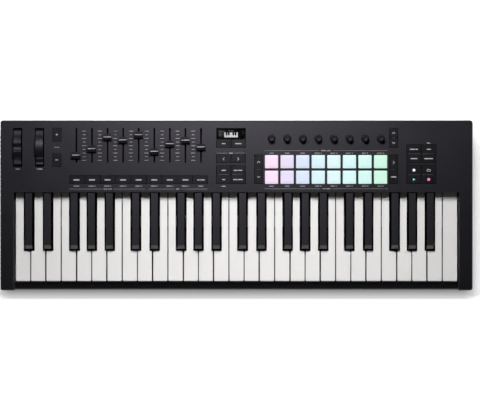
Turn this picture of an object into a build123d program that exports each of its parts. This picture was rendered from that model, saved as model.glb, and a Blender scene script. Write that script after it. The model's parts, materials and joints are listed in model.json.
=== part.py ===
"""A 49-key MIDI keyboard controller as an assembly of separate pieces, in millimetres.

+X runs to the player's right, +Y to the rear panel and +Z up. The origin is the centre of the footprint, on
the table. A flat deck carries the faders, knobs, pads, wheels and buttons behind a four-octave keyboard whose
keys rock on one ridge of the keybed chassis. Each entry of the table at the end becomes one STEP file.
"""
from build123d import *
import os
from math import asin, atan, cos, degrees, pi, radians, sin

# Case
deck_height = 64.0  # table to the deck's upper face
foot_height = 3.0
case_wall = 2.5
deck_thickness = 2.5
corner_radius = 4.0
deck_edge_chamfer = 1.2
base_edge_chamfer = 1.5
seam_height = 16.0  # table to the joint between the two case halves
deck_margin = 12.9  # lowest row of controls to the deck's front edge, where the keys start
deck_lip = 13.5  # height of the deck's front edge
rail_depth = 12.3  # front rail, between the cheeks
rail_drop = 22.0  # deck to the rail's upper edge, beside the keys
rail_fall = 4.5  # how far the rail slopes down to the front
rail_round = 5.0
rail_lip = 9.0
cheek_width = 20.7  # each side of the keys
cheek_lining = 2.0
cheek_lining_height = 34.0

# Keys
octave_span = 165.0
octaves = 4
key_gap = 1.3
key_to_case = 1.5
white_key_drop = 14.5  # deck to the white keys' upper faces
white_key_height = 15.5
white_key_length = 137.5  # what shows in front of the deck
black_key_rise = 11.5
black_key_length = 88.2
black_base_width = 13.7
black_top_width = 10.6
black_to_white = 0.9
black_slope_length = 6.0
black_slope_height = 5.3
black_nose_length = 2.3
black_nose_height = 5.0
black_waist = 1.8  # how much deeper the black keys' side walls reach
key_wall = 1.7
key_top_thickness = 2.8
key_edge_chamfer = 0.6
key_dip = 10.0  # travel of a white key's front edge
pivot_setback = 17.7  # deck's front edge to the pivot ridge
pivot_drop = 9.5  # white keys' upper faces to the pivot
tail_rise = 6.0
tail_depth = 4.0
tail_overhang = 7.0
tail_start = 3.7  # deck's front edge to the step in each key
hook_width = 6.0
hook_length = 4.2
hook_foot = 7.4
hook_swing = 2.0  # gap that lets the white keys' hooks swing back as they go down
hook_thickness = 2.5
hook_clearance = 0.4
white_hook_setback = 10.6
black_hook_setback = 3.4
contact_setback = 45.0  # deck's front edge to the middle of the contacts
moving_clearance = 0.2
tail_step = 1.0  # white keys' faces to the shelf behind each black key

# Keybed chassis
plate_thickness = 2.5
felt_thickness = 2.0
felt_width = 5.5
ridge_width = 4.0
ridge_height = 4.0
ridge_apex_width = 0.3
spring_rail = 3.0
spring_thickness = 0.8
spring_width = 4.0
spring_reach = 4.5
spring_slope = 0.1
spring_clearance = 0.35
tail_to_rail = 2.0
hook_window = 3.0
rib_gap = (1.0, 5.0)  # ribs to the felts, and to the hook windows
contact_board_depth = 30.0
board_thickness = 1.6
rib_thickness = 2.5
dome_base = (9.0, 14.0)
dome_top = (6.0, 10.0)
contact_strip_thickness = 1.0
contact_strip_margin = (0.4, 2.0)

# Deck layout, from the middle of the case in X and from the deck's rear edge in Y
column_pitch = 24.0
top_row_inset = 11.7
low_row_inset = 97.8
button_gap = 0.35
button_seam = 0.5
button_proud = 0.6
button_travel = 0.7
button_depth = 13.4
button_panel_width = 46.0
grid_panel_depth = 29.2
tall_panel_depth = 45.4
panel_spacing = 2.4
strip_shortfall = 2.6  # nine columns, less the fader button strip

fader_count = 9
first_fader_x = -246.7
fader_travel = 45.0
fader_slot_width = 2.8
fader_slot_margin = 4.2
fader_levels = (0.16, 0.38, 0.78, 0.68, 0.86, 0.29, 0.55, 0.67, 0.44)
cap_size = (14.0, 9.5, 8.6)
cap_lift = 1.0
cap_ear = 1.0
cap_ridge = 1.6
cap_scoop = 2.6
lever_size = (1.4, 4.0)
track_size = (8.6, 62.0, 7.4)
blade_depth = 2.5  # how far the blades reach into the tracks
cap_ridge_drop = 0.4

knob_count = 8
first_knob_x = 54.0
knob_inset = 27.8
knob_radius = 6.0
knob_skirt_height = 1.2
knob_grip_radius = 5.8
knob_top_radius = 4.7
knob_height = 12.5
knob_lift = 0.8
shaft_radius = 3.0
running_clearance = 0.05
shaft_hole_clearance = 1.0
encoder_size = (12.0, 12.0, 7.0)
shaft_depth = 5.0

pad_rows = 2
pad_size = 20.8
pad_gap = 0.4
pad_first_inset = 63.6
pad_proud = 1.4
pad_travel = 0.8
pad_border = 2.6
pad_step = 0.7

octave_x = -276.9
octave_button = (14.2, 21.3)
octave_spacing = 39.0
octave_inset = 22.0
screen_x = -8.4
screen_size = (45.6, 17.0)
lens_thickness = 1.6
lens_ledge = 1.4
lens_clearance = 0.1
display_clearance = (1.0, 0.2)  # display to the window's edges, and to the lens
bank_x = 34.1
bank_width = 13.4
page_x = 242.2
page_panel_depth = 30.2
transport_x = 284.9

wheel_x = (-337.3, -303.4)
wheel_margin = 20.0  # middle of the outer wheel to the side of the case, at least
wheel_width = 11.1
wheel_radius = 34.0
wheel_proud = 12.5
wheel_slot = (14.2, 59.8)
wheel_notch_radius = 10.0
wheel_notch_depth = 4.0
mod_wheel_turn = 36.0  # resting angle of the modulation wheel, towards the player
stub_length = 5.5
bracket_thickness = 2.0
bracket_depth = 26.0
ear_gap = 0.5
sensor_size = (4.0, 14.0, 14.0)

board_drop = 13.0  # deck to the control board's upper face
post_size = 5.0
post_inset = (4.0, 3.0)  # edges of the control board to the posts' middles
board_overhang = (3.0, 6.0)  # board past the outermost buttons, left and right
board_setback = (6.0, 1.0)  # board to the deck's front edge, and to the rear wall

midi_x = 300.0
pedal_x = 255.0
usb_x = 215.0
lock_x = 340.0
midi_bore = 6.8
midi_bore_depth = 11.5
midi_collar = 8.4
midi_body = (20.0, 15.0, 18.6)
pedal_bore = 3.25
pedal_bore_length = 28.5
pedal_collar = 5.0
pedal_body = (15.0, 30.0, 13.0)
usb_shell = (9.0, 7.4, 3.3)
usb_opening = (8.3, 5.5, 2.5)
usb_tongue = (6.6, 4.5, 0.7)
usb_tongue_root = 0.5
usb_recess = 0.3
lock_slot = (7.0, 3.0)
socket_clearance = 0.3

foot_size = (30.0, 10.0)
foot_recess = 1.0
foot_inset = 35.0
foot_bevel = 0.8
screw_head_radius = 3.0
screw_head_height = 1.2
screw_sink = 1.5  # underside of the tray to the seat of the screw heads
screw_shank_radius = 1.5
screw_length = 12.0
screw_clearance = 0.2
boss_radius = 3.5
edge_to_screw = 8.5

# Worked out
white_pitch = octave_span / 7
white_count = 7 * octaves + 1
keyboard_half = white_count * white_pitch / 2
well_half = keyboard_half + key_to_case
half_width = max(well_half + cheek_width, wheel_margin - min(wheel_x))
case_width = 2 * half_width
panel_depth = low_row_inset + deck_margin
case_depth = panel_depth + white_key_length + key_to_case + rail_depth
rear = case_depth / 2
front = -rear
deck_under = deck_height - deck_thickness
floor_top = foot_height + case_wall
screw_seat = foot_height + screw_sink
deck_front = rear - panel_depth
rail_inner = front + rail_depth
rail_top = deck_height - rail_drop
key_front = rail_inner + key_to_case
white_top = deck_height - white_key_drop
white_bottom = white_top - white_key_height
black_top = white_top + black_key_rise
black_bottom = white_bottom - black_waist
black_rear = deck_front - key_to_case
black_front = black_rear - black_key_length
pivot_y = deck_front + pivot_setback
pivot_z = white_top - pivot_drop
press_angle = degrees(asin(key_dip / (pivot_y - key_front)))
tail_y = deck_front + tail_start
tail_end = pivot_y + tail_overhang
tail_top = pivot_z + tail_rise
tail_bottom = pivot_z - tail_depth
contact_y = deck_front - contact_setback
hollow_rear = contact_y - dome_base[1] / 2
board_top = deck_height - board_drop
board_bottom = board_top - board_thickness
top_row = rear - top_row_inset
low_row = rear - low_row_inset
button_top = deck_height + button_proud
button_bottom = board_top + button_travel + moving_clearance
wheel_y = top_row - wheel_slot[1] / 2
wheel_z = deck_height + wheel_proud - wheel_radius


def pressed(y, z):
    """Height that a point of a key reaches when the key is fully down."""
    turn = radians(press_angle)
    return pivot_z + (y - pivot_y) * sin(turn) + (z - pivot_z) * cos(turn)


white_hook_y = key_front + white_hook_setback
black_hook_y = black_front + black_hook_setback
white_felt_front = white_hook_y + hook_length + hook_swing
white_felt = (white_felt_front, white_felt_front + felt_width)
black_felt = (black_hook_y - felt_width - 1.0, black_hook_y - 1.0)
plate_top = pressed(white_felt[0], white_bottom) - moving_clearance - felt_thickness
plate_bottom = plate_top - plate_thickness
hook_top = plate_bottom - felt_thickness - moving_clearance
contact_top = pressed(contact_y - dome_base[1] / 2, white_bottom) - moving_clearance
contact_board_top = plate_top + board_thickness
plate_front = white_hook_y - hook_clearance
rail_y = tail_end + tail_to_rail
plate_rear = rail_y + spring_rail
spring_tip = (pivot_y + spring_reach, tail_top + spring_clearance)

# Places of the five black keys of an octave: white key they follow, and shift from the joint beside it
black_places = {"c_sharp": (1, -2.4), "d_sharp": (2, 3.0), "f_sharp": (4, -3.1), "g_sharp": (5, 0.0), "a_sharp": (6, 4.2)}
white_names = ("c", "d", "e", "f", "g", "a", "b")


def block(x, y, z):
    """A box from its low and high limits along each axis."""
    middle = Pos((x[0] + x[1]) / 2, (y[0] + y[1]) / 2, (z[0] + z[1]) / 2)
    return middle * Box(x[1] - x[0], y[1] - y[0], z[1] - z[0])


def around(centre, size):
    """The limits of a length of a given size about its middle."""
    return (centre - size / 2, centre + size / 2)


def tile(centre, size, z):
    """A box about a point of the deck, given its size and its limits in height."""
    return block(around(centre[0], size[0]), around(centre[1], size[1]), z)


def shell_outline(inset, z):
    """The case's outline with its round corners, moved inwards, between two heights."""
    outline = RectangleRounded(case_width - 2 * inset, case_depth - 2 * inset, corner_radius - inset / 2)
    return Pos(0, 0, z[0]) * extrude(outline, z[1] - z[0])


def across(points, x):
    """A prism that runs along X, from its outline in (y, z)."""
    return extrude(Plane.YZ.offset(x[0]) * make_face(Polyline(*points, close=True)), x[1] - x[0])


def along(points, y):
    """A prism that runs along Y, from its outline in (x, z)."""
    return extrude(Plane.XZ.offset(-y[1]) * make_face(Polyline(*points, close=True)), y[1] - y[0])


def mesa(centre, z, low_size, high_size):
    """A block on a rectangular base that narrows to its upper face."""
    edge = [(low - high) / 2 for low, high in zip(low_size, high_size)]
    shape = Wedge(low_size[0], z[1] - z[0], low_size[1], edge[0], edge[1], low_size[0] - edge[0], low_size[1] - edge[1])
    return Pos(centre[0], centre[1], (z[0] + z[1]) / 2) * Rot(90, 0, 0) * shape


def post(x, y, z, radius):
    """An upright cylinder."""
    return Pos(x, y, z[0]) * Cylinder(radius, z[1] - z[0], align=(Align.CENTER, Align.CENTER, Align.MIN))


def stud(x, y, z, radius):
    """An upright eight-sided prism about a circle: screws, and holes that nothing is seen to turn in."""
    outline = RegularPolygon(radius, 8, major_radius=False)
    return Pos(x, y, z[0]) * extrude(outline, z[1] - z[0])


def bar(centre, y, radius):
    """A cylinder along Y about a point given in (x, z)."""
    turned = Rot(-90, 0, 0) * Cylinder(radius, y[1] - y[0], align=(Align.CENTER, Align.CENTER, Align.MIN))
    return Pos(centre[0], y[0], centre[1]) * turned


def axle(x, centre, radius):
    """A cylinder along X about a point given in (y, z)."""
    turned = Rot(0, 90, 0) * Cylinder(radius, x[1] - x[0], align=(Align.CENTER, Align.CENTER, Align.MIN))
    return Pos(x[0], centre[0], centre[1]) * turned


def joined(pieces):
    """One solid from touching or overlapping pieces."""
    whole = pieces[0]
    for piece in pieces[1:]:
        whole += piece
    return whole


# The layout of the deck
def fader_x(number):
    """Middle of a fader, counted from 0."""
    return first_fader_x + number * column_pitch


def knob_x(number):
    """Middle of a knob and of the pads below it, counted from 0."""
    return first_knob_x + number * column_pitch


fader_y = top_row - fader_slot_margin - fader_travel / 2
strip_x = (fader_x(0) + fader_x(fader_count - 1)) / 2
strip_size = (fader_count * column_pitch - strip_shortfall, button_depth)
strip_y = low_row + button_depth / 2
knob_y = rear - knob_inset
pad_y = [rear - pad_first_inset - row * column_pitch for row in range(pad_rows)]
screen_y = top_row - screen_size[1] / 2
screen_button_y = screen_y - screen_size[1] / 2 - button_depth / 2
tall_panel_y = low_row + tall_panel_depth / 2
grid_panel_y = low_row + grid_panel_depth / 2
track_y = low_row + tall_panel_depth - button_depth / 2
workflow_y = grid_panel_y + grid_panel_depth + panel_spacing

# Each button panel: middle, overall size, and how many buttons it has across and down
panels = {
    "octave_buttons": ((octave_x, rear - octave_inset - octave_spacing / 2), None, (1, 2)),
    "fader_buttons": ((strip_x, strip_y), strip_size, (fader_count, 1)),
    "screen_buttons": ((screen_x, screen_button_y), (button_panel_width, button_depth), (2, 1)),
    "track_buttons": ((screen_x, track_y), (button_panel_width, button_depth), (2, 1)),
    "mode_buttons": ((screen_x, grid_panel_y), (button_panel_width, grid_panel_depth), (2, 2)),
    "bank_buttons": ((bank_x, tall_panel_y), (bank_width, tall_panel_depth), (1, 2)),
    "page_buttons": ((page_x, top_row - page_panel_depth / 2), (bank_width, page_panel_depth), (1, 2)),
    "scene_buttons": ((page_x, tall_panel_y), (bank_width, tall_panel_depth), (1, 2)),
    "workflow_buttons": ((transport_x, workflow_y), (button_panel_width, grid_panel_depth), (2, 2)),
    "transport_buttons": ((transport_x, grid_panel_y), (button_panel_width, grid_panel_depth), (2, 2)),
}


def panel_holes(name):
    """The deck openings of one button panel, as (middle, size)."""
    centre, size, _ = panels[name]
    if size:
        return [(centre, size)]
    return [((centre[0], centre[1] + side * octave_spacing / 2), octave_button) for side in (1, -1)]


def button_panel(name):
    """The rubber buttons of one panel, parted by narrow seams."""
    centre, size, (columns, rows) = panels[name]
    solids = []
    for hole_centre, hole_size in panel_holes(name):
        width, depth = hole_size[0] - 2 * button_gap, hole_size[1] - 2 * button_gap
        whole = tile(hole_centre, (width, depth), (button_bottom, button_top))
        if not size:
            solids.append(whole)
            continue
        cell = (width / columns, depth / rows)
        for column in range(columns):
            for row in range(rows):
                x = hole_centre[0] + (column - (columns - 1) / 2) * cell[0]
                y = hole_centre[1] + (row - (rows - 1) / 2) * cell[1]
                reach_x = (x - cell[0] / 2 + button_seam / 2, x + cell[0] / 2 - button_seam / 2)
                reach_y = (y - cell[1] / 2 + button_seam / 2, y + cell[1] / 2 - button_seam / 2)
                solids.append(whole & block(reach_x, reach_y, (button_bottom, button_top)))
    return solids


# Case
screw_columns = (-half_width + edge_to_screw, 0.0, half_width - edge_to_screw)
screw_places = [(x, y) for x in screw_columns for y in (front + edge_to_screw, rear - edge_to_screw)]
foot_places = [(x, y) for x in (-half_width + foot_inset, 0.0, half_width - foot_inset)
               for y in (front + foot_inset, rear - foot_inset)]
board_reach = (octave_x - octave_button[0] / 2 - board_overhang[0],
               transport_x + button_panel_width / 2 + board_overhang[1])
board_depth = (deck_front + board_setback[0], rear - case_wall - board_setback[1])
post_columns = (board_reach[0] + post_inset[0], fader_x(fader_count) - column_pitch / 2, board_reach[1] - post_inset[0])
post_places = [(x, y) for x in post_columns for y in (board_depth[0] + post_inset[1], board_depth[1] - post_inset[1])]
midi_z = board_bottom - midi_body[2] / 2
pedal_z = board_bottom - pedal_body[2] / 2
usb_z = board_bottom - usb_shell[2] / 2
socket_face = rear - case_wall - running_clearance


def top_case():
    """Deck, cheeks, front rail and upper walls in one moulding, open below."""
    body = shell_outline(0, (seam_height, deck_height))
    body = chamfer(body.faces().sort_by(Axis.Z)[-1].edges(), deck_edge_chamfer)
    body -= shell_outline(case_wall, (seam_height, deck_under))
    body -= block((-well_half, well_half), (front - 1, deck_front), (deck_under - 1, deck_height + 1))
    body -= block((-well_half, well_half), (front - 1, rail_inner), (rail_top - rail_lip, deck_height + 1))
    body += front_rail()
    for side in (-1, 1):
        lining = sorted((side * well_half, side * (well_half + cheek_lining)))
        reach = (front + case_wall, deck_front + deck_thickness)
        body += block(lining, reach, (deck_under - cheek_lining_height, deck_under))
    body += block((-well_half, well_half), (deck_front, deck_front + deck_thickness), (deck_height - deck_lip, deck_under))
    for x, y in screw_places:
        roof = deck_under if y > 0 or abs(x) > well_half else rail_height(y - boss_radius - 1)
        body += stud(x, y, (floor_top, roof), boss_radius)
    for x, y in post_places:
        body += block(around(x, post_size), around(y, post_size), (board_top, deck_under))
    return body - joined(deck_cuts()) - joined(rear_cuts())


def rail_height(y):
    """Height of the front rail's sloping upper face."""
    return rail_top - rail_fall * (rail_inner - y) / rail_depth


def front_rail():
    """The low rail in front of the keys, with a sloping top, a round nose and a lip behind it."""
    low = rail_top - rail_lip
    nose = across([(front, low), (front, rail_height(front)), (rail_inner, rail_top), (rail_inner, low)],
                  (-well_half, well_half))
    nose = fillet(nose.edges().filter_by(Axis.X).sort_by(lambda edge: edge.center().Y - edge.center().Z)[:1], rail_round)
    reach = (front + case_wall, rail_inner - cheek_lining)
    roof = [rail_height(y) - deck_thickness for y in reach]
    return nose - across([(reach[0], low), (reach[0], roof[0]), (reach[1], roof[1]), (reach[1], low)],
                         (-well_half, well_half))


def deck_cuts():
    """Everything that is cut through the deck."""
    through = (deck_under - 0.5, deck_height + 0.5)
    cuts = [tile((x, wheel_y), wheel_slot, through) for x in wheel_x]
    for number in range(fader_count):
        slot_length = fader_travel + 2 * fader_slot_margin
        cuts.append(tile((fader_x(number), fader_y), (fader_slot_width, slot_length), through))
    for name in panels:
        cuts += [tile(centre, size, through) for centre, size in panel_holes(name)]
    for number in range(knob_count):
        cuts.append(stud(knob_x(number), knob_y, through, shaft_radius + shaft_hole_clearance))
        cuts += [tile((knob_x(number), y), (pad_size + 2 * pad_gap,) * 2, through) for y in pad_y]
    cuts.append(tile((screen_x, screen_y), screen_size, (deck_height - lens_thickness, deck_height + 1)))
    window = (screen_size[0] - 2 * lens_ledge, screen_size[1] - 2 * lens_ledge)
    cuts.append(tile((screen_x, screen_y), window, through))
    for x, y in screw_places:
        cuts.append(stud(x, y, (floor_top - 1, floor_top + screw_length), screw_shank_radius + running_clearance))
    return cuts


def rear_cuts():
    """Holes of the sockets and the lock slot in the rear wall."""
    wall = (rear - case_wall - 0.5, rear + 0.5)
    return [
        bar((midi_x, midi_z), wall, midi_collar + running_clearance),
        bar((pedal_x, pedal_z), wall, pedal_collar + running_clearance),
        block(around(usb_x, usb_shell[0] + 2 * socket_clearance), wall, around(usb_z, usb_shell[2] + 2 * socket_clearance)),
        block(around(lock_x, lock_slot[0]), wall, around(usb_z, lock_slot[1])),
    ]


def bottom_case():
    """The shallow tray below the seam, with recesses for the feet and countersunk screw holes."""
    body = shell_outline(0, (foot_height, seam_height))
    body = chamfer(body.faces().sort_by(Axis.Z)[0].edges(), base_edge_chamfer)
    body -= shell_outline(case_wall, (floor_top, seam_height))
    for place in foot_places:
        recess = (foot_size[0] + 2 * running_clearance, foot_size[1] + 2 * running_clearance)
        body -= tile(place, recess, (foot_height - 1, foot_height + foot_recess))
    for x, y in screw_places:
        body -= stud(x, y, (foot_height - 1, floor_top + 1), screw_shank_radius + screw_clearance)
        body -= stud(x, y, (foot_height - 1, screw_seat), screw_head_radius + screw_clearance)
    return body


def rubber_feet():
    """Six rubber feet, let into the tray, with a bevel round the sole."""
    feet = [tile(place, foot_size, (0, foot_height + foot_recess)) for place in foot_places]
    return [chamfer(foot.faces().sort_by(Axis.Z)[0].edges(), foot_bevel) for foot in feet]


def case_screws():
    """Screws up through the tray into the top case's bosses."""
    screws = []
    for x, y in screw_places:
        shank = stud(x, y, (screw_seat, screw_seat + screw_length), screw_shank_radius)
        screws.append(shank + stud(x, y, (screw_seat - screw_head_height, screw_seat), screw_head_radius))
    return screws


# Keys
def key_hook(x, y, z, direction):
    """The leg below a key and its foot, which catches under the chassis plate."""
    leg = block(around(x, hook_width), (y, y + hook_length), (hook_top - hook_thickness, z))
    foot = (y + hook_length, y + hook_length + hook_foot) if direction > 0 else (y - hook_foot, y)
    return leg + block(around(x, hook_width), foot, (hook_top - hook_thickness, hook_top))


def pivot_notch(x):
    """The V under a key's tail, which sits over the chassis ridge."""
    apex = pivot_z + moving_clearance
    points = [(pivot_y - tail_depth - 1, tail_bottom - 1), (pivot_y, apex), (pivot_y + tail_depth + 1, tail_bottom - 1)]
    return across(points, x)


def white_key(left, right, stem_left, stem_right):
    """A white key: wide front, a stem beside the black keys, and a solid tail on the ridge."""
    block_rear = black_front - black_to_white
    front_part = block((left, right), (key_front, block_rear), (white_bottom, white_top))
    stem = block((stem_left, stem_right), (block_rear - 1, tail_y), (white_bottom, white_top))
    body = front_part + stem
    rim = body.edges().filter_by(Axis.X).sort_by(lambda edge: edge.center().Y - edge.center().Z)
    body = chamfer(rim[0], key_edge_chamfer)
    body -= block((left + key_wall, right - key_wall), (key_front + key_wall, block_rear - key_wall),
                  (white_bottom - 1, white_top - key_top_thickness))
    body -= block((stem_left + key_wall, stem_right - key_wall), (block_rear - key_wall - 1, hollow_rear),
                  (white_bottom - 1, white_top - key_top_thickness))
    body += block((stem_left, stem_right), (tail_y - key_wall, tail_end), (tail_bottom, tail_top))
    body -= pivot_notch((stem_left - 1, stem_right + 1))
    return body + key_hook((left + right) / 2, white_hook_y, white_top - key_top_thickness / 2, 1)


def black_key(x):
    """A black key: tapered flanks, a sloping nose, and the same tail as a white key."""
    base, top = black_base_width / 2, black_top_width / 2
    section = [(x - base, black_bottom), (x + base, black_bottom), (x + base, white_top), (x + top, black_top),
               (x - top, black_top), (x - base, white_top)]
    nose_z = black_top - black_slope_height
    nose_y = black_front + black_nose_length
    side = [(black_front, black_bottom), (black_front, nose_z - black_nose_height), (nose_y, nose_z),
            (nose_y + black_slope_length, black_top), (black_rear, black_top), (black_rear, white_top - tail_step),
            (tail_y, white_top - tail_step), (tail_y, tail_top), (tail_end, tail_top), (tail_end, tail_bottom),
            (tail_y, tail_bottom), (tail_y - key_wall, white_bottom), (hollow_rear, white_bottom),
            (hollow_rear, black_bottom)]
    body = along(section, (black_front, tail_end)) & across(side, (x - base, x + base))
    body -= block((x - top + key_wall / 2, x + top - key_wall / 2),
                  (nose_y + key_wall, hollow_rear), (black_bottom - 1, nose_z - key_wall))
    body -= pivot_notch((x - base - 1, x + base + 1))
    return body + key_hook(x, black_hook_y, nose_z - key_wall, -1)


def black_centre(name):
    """Middle of a black key of the first octave."""
    white, shift = black_places[name]
    return -keyboard_half + white * white_pitch + shift


def stem_limits(index):
    """Left and right edge of a white key's stem in the first octave, beside its black keys."""
    left, right = key_limits(index)
    half_notch = black_base_width / 2 + black_to_white
    for name, (white, _) in black_places.items():
        if white == index:
            left = black_centre(name) + half_notch
        if white == index + 1:
            right = black_centre(name) - half_notch
    return left, right


def key_limits(index):
    """Left and right edge of a white key, counted from 0 at the left end."""
    left = -keyboard_half + index * white_pitch
    return left + key_gap / 2, left + white_pitch - key_gap / 2


def key_groups():
    """Every key, grouped by note: one built key of each note, repeated an octave apart."""
    groups = {}
    for index, note in enumerate(white_names):
        groups[note] = [Pos(octave * octave_span, 0, 0) * white_key(*key_limits(index), *stem_limits(index))
                        for octave in range(octaves)]
    last = key_limits(white_count - 1)
    groups["c"].append(white_key(*last, *last))
    for note in black_places:
        groups[note] = [Pos(octave * octave_span, 0, 0) * black_key(black_centre(note)) for octave in range(octaves)]
    return groups


def stem_middles():
    """Middle of every key where it passes over the contacts, from left to right."""
    first = [sum(stem_limits(index)) / 2 for index in range(7)] + [black_centre(name) for name in black_places]
    middles = [x + octave * octave_span for octave in range(octaves) for x in first]
    return sorted(middles + [sum(key_limits(white_count - 1)) / 2])


# Keybed
def keybed_chassis():
    """A flat plate with a notch or window for every key's hook, the pivot ridge, the spring rail and ribs."""
    reach = (-keyboard_half, keyboard_half)
    body = block(reach, (plate_front, plate_rear), (plate_bottom, plate_top))
    ridge = [(pivot_y - ridge_width / 2, plate_top), (pivot_y - ridge_width / 2, pivot_z - ridge_height),
             (pivot_y - ridge_apex_width / 2, pivot_z), (pivot_y + ridge_apex_width / 2, pivot_z),
             (pivot_y + ridge_width / 2, pivot_z - ridge_height), (pivot_y + ridge_width / 2, plate_top)]
    body += across(ridge, reach)
    body += block(reach, (rail_y, plate_rear), (plate_top, spring_seat()))
    for index in range(white_count):
        x = sum(key_limits(index)) / 2
        body -= block(around(x, hook_width + 2 * hook_clearance), (plate_front - 1, white_felt_front),
                      (plate_bottom - 1, plate_top + 1))
    for octave in range(octaves):
        for name in black_places:
            x = black_centre(name) + octave * octave_span
            body -= block(around(x, hook_width + 2 * hook_clearance),
                          (black_hook_y, black_hook_y + hook_length + hook_window), (plate_bottom - 1, plate_top + 1))
    for octave in range(octaves + 1):
        for offset in (0, 3 * white_pitch) if octave < octaves else (0,):
            x = -keyboard_half + octave * octave_span + offset
            rib = around(max(x, -keyboard_half + rib_thickness / 2), rib_thickness)
            body += block(rib, (white_felt[1] + rib_gap[0], black_felt[0] - rib_gap[0]), (floor_top, plate_bottom))
            body += block(rib, (black_hook_y + hook_length + rib_gap[1], plate_rear), (floor_top, plate_bottom))
    return body


def spring_seat():
    """Height of the rail that the return springs are fixed to."""
    return spring_tip[1] + (rail_y - spring_tip[0]) * spring_slope


def key_return_springs():
    """One stamped strip with a leaf for every key, which holds its tail down behind the pivot."""
    seat = spring_seat()
    body = block((-keyboard_half, keyboard_half), (rail_y, plate_rear), (seat, seat + spring_thickness))
    for x in stem_middles():
        leaf = [spring_tip, (rail_y, seat), (rail_y, seat + spring_thickness), (spring_tip[0], spring_tip[1] + spring_thickness)]
        body += across(leaf, around(x, spring_width))
    return body


def key_stop_felts():
    """Strips that stop the keys: two under the plate for the hooks, two above it for the key walls."""
    reach = (-keyboard_half, keyboard_half)
    black_height = pressed(black_felt[0], black_bottom) - moving_clearance
    return [
        block(reach, white_felt, (plate_bottom - felt_thickness, plate_bottom)),
        block(reach, black_felt, (plate_bottom - felt_thickness, plate_bottom)),
        block(reach, white_felt, (plate_top, plate_top + felt_thickness)),
        block(reach, black_felt, (plate_top, min(black_height, plate_top + felt_thickness))),
    ]


def key_contact_board():
    """The circuit board below the contact strips."""
    reach = (-keyboard_half + rib_thickness, keyboard_half - rib_thickness)
    return block(reach, around(contact_y, contact_board_depth), (plate_top, contact_board_top))


def key_contact_strips():
    """One silicone strip per octave, with a dome under every key."""
    strip_top = contact_board_top + contact_strip_thickness
    margin = contact_strip_margin
    middles = stem_middles()
    strips = []
    for octave in range(octaves):
        count = 12 if octave < octaves - 1 else 13
        own = middles[12 * octave:12 * octave + count]
        reach = (own[0] - dome_base[0] / 2 - margin[0], own[-1] + dome_base[0] / 2 + margin[0])
        strip = block(reach, around(contact_y, dome_base[1] + 2 * margin[1]), (contact_board_top, strip_top))
        for x in own:
            strip += mesa((x, contact_y), (strip_top, contact_top), dome_base, dome_top)
        strips.append(strip)
    return strips


# Controls
def control_board():
    """The circuit board that carries everything on the deck, notched round the screw bosses."""
    board = block(board_reach, board_depth, (board_bottom, board_top))
    for x, y in screw_places:
        board -= stud(x, y, (board_bottom - 1, board_top + 1), boss_radius + moving_clearance)
    return board


def fader_place(number):
    """Resting place of a fader's pointer along its slot."""
    return fader_y - fader_travel / 2 + fader_levels[number] * fader_travel


def fader(number):
    """A fader cap, scooped on both sides of its pointer ridge, and the slider blade below it."""
    x, y = fader_x(number), fader_place(number)
    width, depth, height = cap_size
    low = deck_height + cap_lift
    cap = block(around(x, width), around(y, depth), (low, low + height))
    for side in (-1, 1):
        scoop = [(y + side * cap_ridge / 2, low + height - cap_ridge_drop), (y + side * cap_ridge / 2, low + height + 1),
                 (y + side * (depth / 2 + 1), low + height + 1), (y + side * (depth / 2 + 1), low + height - cap_scoop)]
        cap -= across(scoop, around(x, width - 2 * cap_ear))
    blade_bottom = board_top + track_size[2] - blade_depth
    blade = block(around(x, lever_size[0]), around(y, lever_size[1]), (blade_bottom, low))
    return [cap, blade]


def fader_tracks():
    """The slide potentiometers, one below each fader slot."""
    tracks = []
    for number in range(fader_count):
        x = fader_x(number)
        body = block(around(x, track_size[0]), around(fader_y, track_size[1]), (board_top, board_top + track_size[2]))
        groove = (fader_travel + lever_size[1] + 2 * moving_clearance)
        body -= block(around(x, lever_size[0] + 2 * moving_clearance), around(fader_y, groove),
                      (board_top + track_size[2] - blade_depth - moving_clearance, board_top + track_size[2] + 1))
        tracks.append(body)
    return tracks


def knob(number):
    """A knob with a round skirt and a grip that narrows upwards, on its encoder shaft."""
    low = deck_height + knob_lift
    cap = post(knob_x(number), knob_y, (low, low + knob_skirt_height), knob_radius)
    grip_height = knob_height - knob_skirt_height
    taper = degrees(atan((knob_grip_radius - knob_top_radius) / grip_height))
    grip = extrude(RegularPolygon(knob_grip_radius, 24), grip_height, taper=taper)
    cap += Pos(knob_x(number), knob_y, low + knob_skirt_height) * grip
    shaft_end = board_top + encoder_size[2] - shaft_depth + moving_clearance
    return cap + stud(knob_x(number), knob_y, (shaft_end, low), shaft_radius * cos(pi / 8))


def encoder_bodies():
    """The rotary encoders below the knobs."""
    bodies = []
    for number in range(knob_count):
        x = knob_x(number)
        body = block(around(x, encoder_size[0]), around(knob_y, encoder_size[1]), (board_top, board_top + encoder_size[2]))
        socket = (board_top + encoder_size[2] - shaft_depth, board_top + encoder_size[2] + 1)
        bodies.append(body - stud(x, knob_y, socket, shaft_radius + running_clearance))
    return bodies


def pads():
    """Sixteen silicone pads, each with a stepped border."""
    low, top = board_top + pad_travel + moving_clearance, deck_height + pad_proud
    solids = []
    for number in range(knob_count):
        for y in pad_y:
            x = knob_x(number)
            body = tile((x, y), (pad_size, pad_size), (low, top - pad_step))
            inner = pad_size - 2 * pad_border
            solids.append(body + mesa((x, y), (top - pad_step, top), (inner + 2 * pad_step,) * 2, (inner,) * 2))
    return solids


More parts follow.
